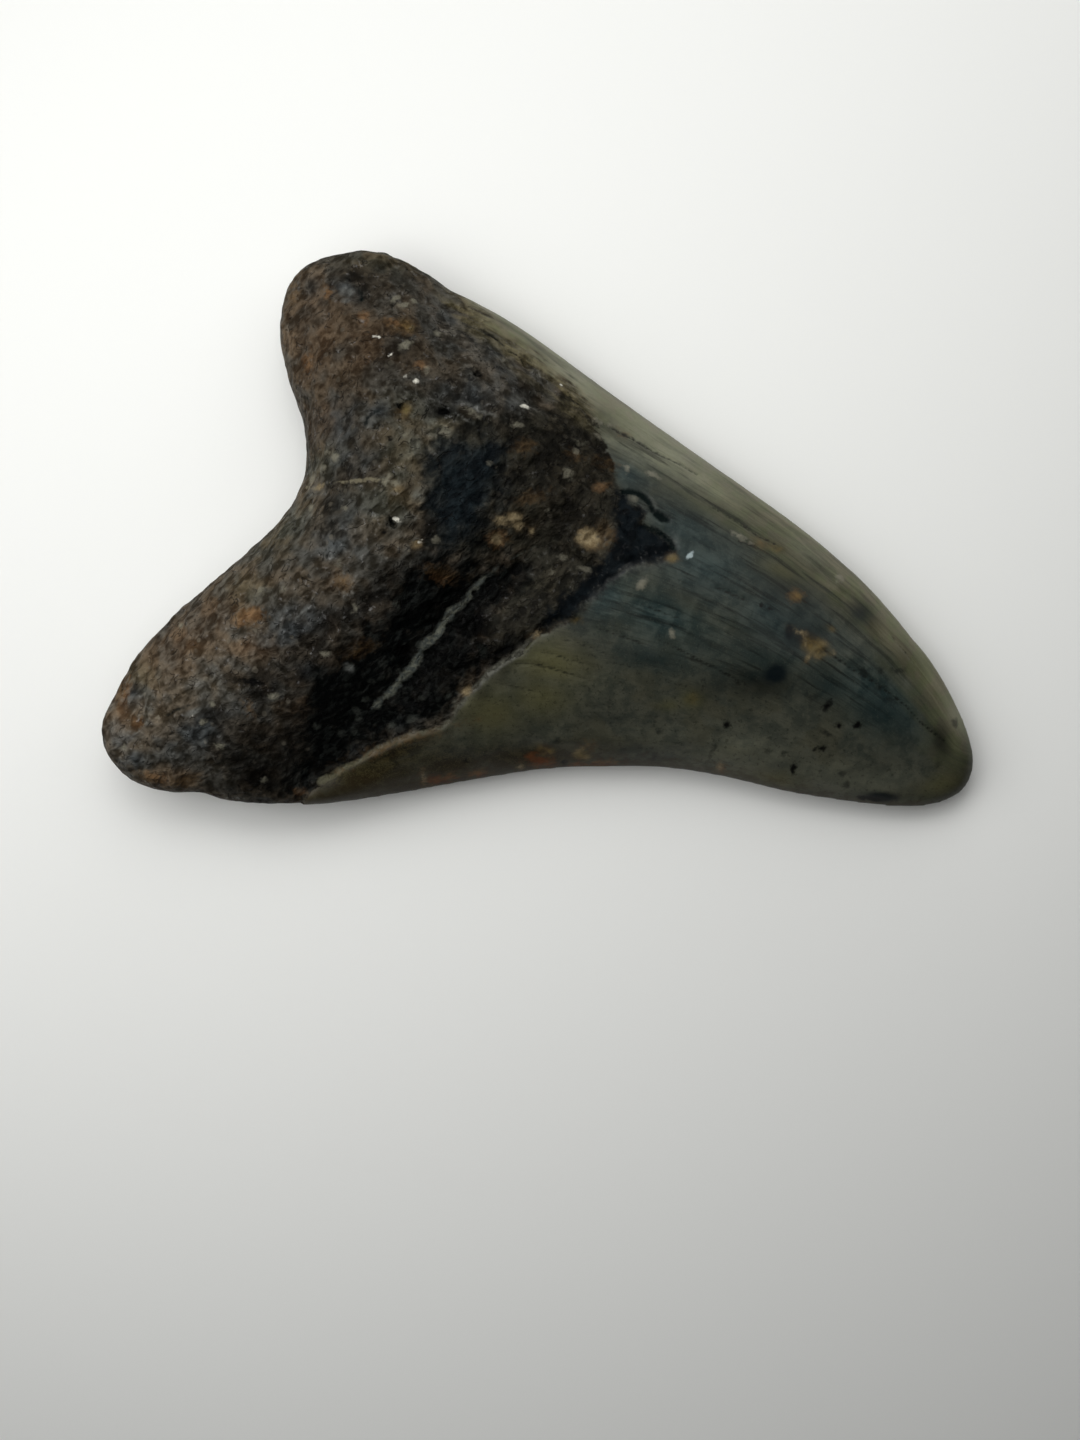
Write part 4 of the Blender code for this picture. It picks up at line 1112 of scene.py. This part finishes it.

# %% [markdown]
# The bourlette is a darker, thinner skin on the same bone, and the hue drifts
# from slate to brown under it all. Then come the dark patches. Their borders are
# shifted by noise, so that none looks drawn with a compass.

# %% Bourlette, blue-black, and soot black with painted shade
BOURLETTE_BROWN = (13, 13, 10), (42, 40, 33)
BLUE_BLACK = (6, 10, 13), (20, 28, 32)
DUSK = (12, 11, 9)
SOOT_AND_SHADE = (3, 4, 4), (17, 19, 18)
COOLER = (0.94, 1.0, 1.05, 1.0)
WARMER = (1.11, 0.992, 0.86, 1.0)


def ragged_patch(name, sway, low, high):
    """1 on a patch, with a border that wanders by noise."""
    return 1.0 - (field(name + "_gap") + (patchy - 0.5) * sway).step(low, high)


tint = speckle(place, 0.24, 1.0, 0.5, 0.3, (0.0, 0.0, 41.0))
small_tint = speckle(place, 0.50, 1.0, 0.4, 0.0, (0.0, 23.0, 41.0))
hue = (tint * 0.65 + small_tint * 0.35 + field("warmth") * 0.10).step(0.40, 0.60)
bourlette = ragged_patch("bourlette", 5.0, -1.2, 1.0)
stone = blend(bourlette * 0.94, stone, shaded(*BOURLETTE_BROWN))
stone = blend(1.0 - bourlette * 0.6, stone, blend(hue, COOLER, WARMER), "MULTIPLY")
blue = ragged_patch("blue", 7.0, -3.4, 2.2)
stone = blend(blue * 0.94, stone, shaded(*BLUE_BLACK))
# Dusk: painted shade in the hollows and on the dark flank.
stone = blend(field("dusk") * (1.0 - mottle.step(0.48, 0.66) * 0.4) * 0.88, stone, colour(*DUSK))
# Soot black: the flank's own black, deepened by painted shade of that flank.
soot = ragged_patch("soot", 6.0, -2.2, 1.8)
stone = blend(soot * (0.985 - patchy.step(0.50, 0.62) * 0.05), stone,
              between(strokes.step(0.50, 0.64), *SOOT_AND_SHADE))
darkness = soot.most(blue).most(bourlette * 0.7)
print("dark patches:", len(tree.nodes), "nodes so far")

# %% [markdown]
# Fine cracks are where a noise crosses its middle value. Grit is one small disc
# in each cell of a Voronoi pattern, and a lottery on the cell's own place decides
# which cells have one. Frost, a pale bloom with a painted highlight in it, sits
# on tops only.

# %% Crackle, grit, and frost with a painted highlight
CRACKLE = (10, 9, 8)
GRIT = (108, 103, 92)
FROST_AND_HIGHLIGHT = (106, 108, 105)


def grit_cells(result):
    return add_node(tree, "TexVoronoi", {"feature": "F1"}, {"Vector": place, "Scale": 0.75}, result)


def misty(name, wobble, low, high):
    """A cloud with an uneven border."""
    return (field(name) + shiver * wobble).step(low, high)


middle = speckle(combed(NEAR_FIBRES, 1.6), 0.55, 2.0, 0.5, 0.4, (3.0, 9.0, 2.0)) - 0.5
crackle = (1.0 - middle.size().step(0.004, 0.024)) * mottle.step(0.50, 0.58)
stone = blend(crackle * 0.62, stone, colour(*CRACKLE))
lot = add_node(tree, "TexWhiteNoise", None, {"Vector": grit_cells("Position")})
grit = (1.0 - (grit_cells("Distance") + (mottle - 0.5) * 0.9).step(0.10, 0.30)) * lot.step(0.55, 1.0)
stone = blend(grit * (0.30 - darkness * 0.26), stone, colour(*GRIT))
# Frost: a pale bloom, and at its first oval a painted highlight.
frost = misty("frost", 0.10, 0.10, 0.90) * relief.step(0.40, 0.55)
stone = blend(frost * 0.55, stone, colour(*FROST_AND_HIGHLIGHT))
root_colour = times(stone, grey(1.02 + field("worn") * 0.26 + grain.step(0.36, 0.64) * 0.06))
print("root:", len(tree.nodes), "nodes so far")

# %% [markdown]
# ### The enamel
# Enamel is smooth and olive grey. Its streaks are noise on crown coordinates:
# many steps across, few along, so that each streak runs from root to tip.

# %% Streaks and glaze
GLAZE = (45, 48, 42), (62, 63, 54)
BROWN_GLAZE = (58, 56, 43)
THICK_GLAZE = (20, 36, 38), (50, 62, 61)
YELLOW_GLAZE = (72, 70, 45)

across = field("across")
run = field("from_tip")
mesial_gap = field("from_mesial")


def streaks(fine, along, layer):
    course = add_node(tree, "CombineXYZ", None, {"X": across * fine, "Y": run * along, "Z": layer})
    return speckle(course, 1.0, 3.0, 0.62)


broad_streaks = streaks(9.0, 0.03, 0.0)
fine_streaks = streaks(34.0, 0.07, 5.0)
hair_streaks = streaks(100.0, 0.16, 9.0)
glaze = between((patchy * 0.7 + mottle * 0.3).step(0.38, 0.62), *GLAZE)
glaze = blend(broad.step(0.45, 0.62) * 0.4, glaze, colour(*BROWN_GLAZE))
glaze = blend(field("cloud") * 0.85, glaze,
              between((broad_streaks * 0.5 + patchy * 0.5).step(0.42, 0.58), *THICK_GLAZE))
glaze = blend(field("yellow") * 0.7, glaze, colour(*YELLOW_GLAZE))
print("glaze:", len(tree.nodes), "nodes so far")

# %% [markdown]
# A paler band lies along the mesial edge, where the enamel is thin over the
# dentine. It is widest as a faint streaked tone, and paler along the edge itself,
# and its hue drifts a little from green to pink.

# %% Pale band
WIDE_BAND = (52, 54, 42), (72, 72, 55)
EDGE_BAND = (80, 78, 62), (101, 99, 82)
GREENER = (0.95, 1.03, 0.86, 1.0)
PINKER = (1.05, 1.0, 0.99, 1.0)

wander = (broad_streaks - 0.5) * 9.0
past_tip = run.step(6.0, 26.0)
wide_band = 1.0 - (mesial_gap + wander).step(2.4, 8.2)
edge_band = 1.0 - (mesial_gap + wander * 0.5).step(0.5, 5.0)
band_streaks = (0.5 + (fine_streaks - 0.5) * (0.25 + past_tip * 0.75)).step(0.36, 0.61)
glaze = blend(wide_band * 0.9, glaze, between(band_streaks, *WIDE_BAND))
glaze = blend(edge_band * 0.85, glaze, between(band_streaks, *EDGE_BAND))
glaze = blend(wide_band * 0.8, glaze, blend(small_tint.step(0.42, 0.58), GREENER, PINKER), "MULTIPLY")
print("band:", len(tree.nodes), "nodes so far")

# %% [markdown]
# Depth, brown umber and gleam follow. On top lie dark streaks and hairs, which
# fade towards the tip, small speckles near the distal edge, and a line of dirt
# along that edge.

# %% Depth, streaks and dirt
DEEP = (22, 32, 32)
UMBER = (21, 17, 8), (48, 42, 25)
GLEAM = (122, 123, 106)
PALE_DUST = (90, 90, 78)
EDGE_DIRT = (52, 43, 28)

glaze = blend(field("deep") * 0.80, glaze, colour(*DEEP))
glaze = blend(field("umber") * 0.95, glaze, between((mottle * 0.5 + dust * 0.5).step(0.40, 0.60), *UMBER))
# Gleam: a pale painted sheen along the edges, over their polish.
glaze = blend(field("gleam"), glaze, colour(*GLEAM))
streaky = (across + (patchy - 0.5) * 0.6).step(0.26, 0.50)
dark_streaks = (1.0 - fine_streaks.step(0.36, 0.47)) * streaky * past_tip
speckles = (1.0 - speckle(place, 1.9, 3.0, 0.65, 0.4, (5.0, 5.0, 0.0)).step(0.34, 0.44)) * (1.0 - streaky)
hairs = (1.0 - hair_streaks.step(0.36, 0.50)) * (0.3 + streaky * 0.7) * past_tip * (1.0 - edge_band * 0.6)
streak_depth = 0.56 - wide_band * 0.16 - edge_band * 0.28
wear = 0.96 + grain * 0.26 + dust * 0.26 - dark_streaks * streak_depth - speckles * 0.42 - hairs * 0.28
glaze = times(glaze, grey(wear))
glaze = times(glaze, grey(0.70 + run.step(1.0, 9.0) * 0.30))
glaze = blend(dust.step(0.58, 0.72) * 0.16, glaze, colour(*PALE_DUST))
edge_dirt = 1.0 - (across + (mottle - 0.5) * 0.16).step(0.0, 0.07)
enamel_colour = blend(edge_dirt * 0.55 * field("lingual"), glaze, colour(*EDGE_DIRT))
print("enamel:", len(tree.nodes), "nodes so far")

# %% [markdown]
# ### Where enamel meets root
# The signed distance splits the two, and the tone is laid over both. Under the
# haze the split is soft. Under the fray the streaks push it to and fro, so that
# the enamel ends in splinters, with yellowed bone and dark gaps between them.

# %% Join the two finishes
FRAYED_BONE = (62, 56, 36), (106, 98, 72)
FRAY_GAPS = (24, 20, 14)

haze = field("haze")
fray = field("fray")
splinters = (fine_streaks - 0.5) * 14.0 + (hair_streaks - 0.5) * 4.0
edge_gap = field("enamel_gap") + shiver * 0.35 + fray * splinters - fray * 0.7
enamel = edge_gap.step(-0.12 - haze * 0.9 - fray * 0.8, 0.12 + haze * 0.9 + fray * 1.6)
surface = blend(enamel, root_colour, enamel_colour)
surface = times(surface, grey(1.0 + field("tone")))
frayed = (1.0 - edge_gap.size().step(0.4, 3.4)) * fray
surface = blend(frayed * (0.30 + fine_streaks.step(0.38, 0.58) * 0.5), surface, shaded(*FRAYED_BONE))
surface = blend(frayed * (1.0 - fine_streaks.step(0.34, 0.44)) * 0.60, surface, colour(*FRAY_GAPS))
print("join:", len(tree.nodes), "nodes so far")

# %% [markdown]
# ### Stains on top
# The marks go on last, from stains below to white grains on top. Navy and teal
# are the darkest of the enamel, ochre and rust the crusts of the bone. Rust and
# orange are dimmed where the bone is dark, and orange is stronger on umber.

# %% Navy, teal, ochre and rust
NAVY = (3, 6, 9), (12, 18, 22)
TEAL = (8, 15, 18)
OCHRE = (56, 45, 20), (108, 90, 48)
RUST = (50, 37, 22), (98, 76, 48)
ORANGE = (74, 52, 32), (120, 92, 64)
ORANGE_ON_UMBER = (96, 47, 9)


def painted(name, soft=0.12, wobble=0.5):
    """1 on a kind of mark, with an uneven edge."""
    return 1.0 - (field(name + "_gap") + shiver * wobble).step(-soft, soft)


navy = 1.0 - (field("navy_gap") + shiver * 0.8).step(-0.9, 0.8)
surface = blend(navy * 0.94, surface, between(patchy.step(0.42, 0.62), *NAVY))
surface = blend(misty("teal", 0.12, 0.12, 0.80) * 0.94, surface, colour(*TEAL))
dim = 1.0 - darkness * 0.45
surface = blend(misty("ochre", 0.10, 0.10, 0.90) * (0.2 + mottle), surface, shaded(*OCHRE))
surface = blend(painted("rust", 0.75, 0.9) * (0.15 + mottle * 0.8) * dim, surface, shaded(*RUST))
surface = blend(painted("orange", 0.50, 0.6) * (0.2 + mottle) * dim, surface,
                blend(field("umber"), shaded(*ORANGE), colour(*ORANGE_ON_UMBER)))
print("stains:", len(tree.nodes), "nodes so far")

# %% [markdown]
# Lines next: shallow holes, cracks and grooves are dark, the seam and the rim
# pale. The rim is yellower where the enamel is umber.

# %% Lines
SHALLOW_HOLE = (17, 20, 18)
CRACK = (14, 15, 12)
GROOVE = (5, 12, 12)
SEAM_GREY = (64, 68, 65), (92, 94, 85)
RIM_GREY = (56, 56, 50), (76, 76, 68)
RIM_YELLOW = (90, 87, 68), (98, 82, 58)
HAIRLINE_GREY = (112, 106, 88)

gritty = grain.step(0.40, 0.60)
surface = blend(painted("soft_hole", 0.34, 0.4) * 0.62, surface, colour(*SHALLOW_HOLE))
surface = blend(painted("crack", 0.17, 0.16) * 0.9, surface, colour(*CRACK))
groove = painted("groove", 0.24, 0.16)
surface = blend(groove * 0.94, surface, colour(*GROOVE))
surface = blend(painted("seam", 0.30, 0.36) * (0.35 + mottle * 0.9), surface, between(gritty, *SEAM_GREY))
rim_colour = blend(field("umber"), between(gritty, *RIM_GREY),
                   between(patchy.step(0.42, 0.58), *RIM_YELLOW))
surface = blend(painted("rim", 0.24, 0.20) * (0.62 + mottle * 0.5), surface, rim_colour)
surface = blend(painted("hair", 0.14, 0.25) * 0.7, surface, colour(*HAIRLINE_GREY))
print("lines:", len(tree.nodes), "nodes so far")

# %% [markdown]
# Grains are the last layer. Pale ones are duller on the black flank, cream ones
# have a brown halo and turn ochre in a crust, and white ones, some of them painted
# highlights, look bluish on enamel.

# %% Grains and deep holes
PALE_GRAIN = (66, 69, 64), (122, 119, 105)
CREAM_HALO = (77, 63, 44)
CREAM = (96, 83, 61), (140, 126, 98)
OCHRE_CREAM = (86, 76, 40)
DEEP_HOLE = (4, 4, 4)
WHITE_GRAIN_AND_HIGHLIGHT = (200, 198, 187), (150, 164, 166)

surface = blend(painted("pale", 0.30, 0.5) * (0.20 + grain * 0.8) * dim, surface,
                between(field("soot_gap").step(-1.0, 0.5), *PALE_GRAIN))
surface = blend(painted("cream", 0.9, 0.5) * 0.45, surface, colour(*CREAM_HALO))
cream = painted("cream", 0.40, 0.34)
cream_colour = between((mottle * 0.7 + dust * 0.3).step(0.36, 0.64), *CREAM)
surface = blend(cream * (0.78 + mottle * 0.3), surface,
                blend(field("ochre"), cream_colour, colour(*OCHRE_CREAM)))
# Deep holes: black, partly painted shade inside them.
surface = blend(painted("hole", 0.20, 0.30) * 0.96, surface, colour(*DEEP_HOLE))
# White grains, and the painted highlights listed among them.
surface = blend(painted("white", 0.12, 0.20) * 0.95, surface, between(enamel, *WHITE_GRAIN_AND_HIGHLIGHT))
print("grains:", len(tree.nodes), "nodes so far")

# %% [markdown]
# ### Relief and gloss
# The carving stops at the size of the net. Below that a bump map takes over:
# grain on the root, faint furrows on the enamel. The root's height is centred on
# zero, or the enamel's edge would get a false step. Gloss could come from a low
# roughness alone, but a thin coat leaves the colour under it matt: all over the
# enamel, and as a mere glint on the raised grains of the root.

# %% Bump and gloss
BUMP_DEPTH = 0.7
HEIGHT_MIDDLE = 1.1
ENAMEL_COAT = 0.10
COAT_ROUGHNESS = 0.28
COAT_IOR = 2.0
SPECULAR_LEVEL = 0.02
FOSSIL_IOR = 1.5

rough_height = patchy * 0.90 + mottle * 0.60 + strokes * 0.50 + facets * 0.24
bare_height = rough_height + grit * 0.10 - crackle * 0.12 - HEIGHT_MIDDLE
glaze_height = fine_streaks * 0.06 + hair_streaks * 0.03 + dust * 0.02
height = bare_height + (glaze_height - bare_height) * enamel.most(navy * 0.8).most(cream * 0.8)
bump = add_node(tree, "Bump", None, {"Strength": 1.0, "Distance": BUMP_DEPTH * MM, "Height": height})
roughness = 0.60 - grain * 0.16 - enamel * 0.10
sparkle = grain.step(0.55, 0.72) * mottle.step(0.45, 0.62)
glint = sparkle * (0.26 - darkness * 0.24)
coat = (glint + (ENAMEL_COAT - field("umber") * 0.08 - glint) * enamel) * (1.0 - groove)
print("gloss:", len(tree.nodes), "nodes so far")

# %% [markdown]
# Only the colour, the roughness, the coat and the bump change over the surface.
# Whatever is the same all over is one number on the shader's own socket.

# %% Put the material together
shader = add_node(tree, "BsdfPrincipled", None, {
    "Base Color": surface, "Roughness": roughness, "Normal": bump, "IOR": FOSSIL_IOR,
    "Specular IOR Level": SPECULAR_LEVEL, "Coat Weight": coat,
    "Coat Roughness": COAT_ROUGHNESS, "Coat IOR": COAT_IOR,
})
add_node(tree, "OutputMaterial", None, {"Surface": shader})
skin.materials.append(material)
print(len(tree.nodes), "shader nodes")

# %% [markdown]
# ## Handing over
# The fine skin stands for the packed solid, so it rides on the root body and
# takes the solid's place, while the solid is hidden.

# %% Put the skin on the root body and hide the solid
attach(tooth, "root")
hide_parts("tooth")
print("handed over:", tooth.name)

# %% [markdown]
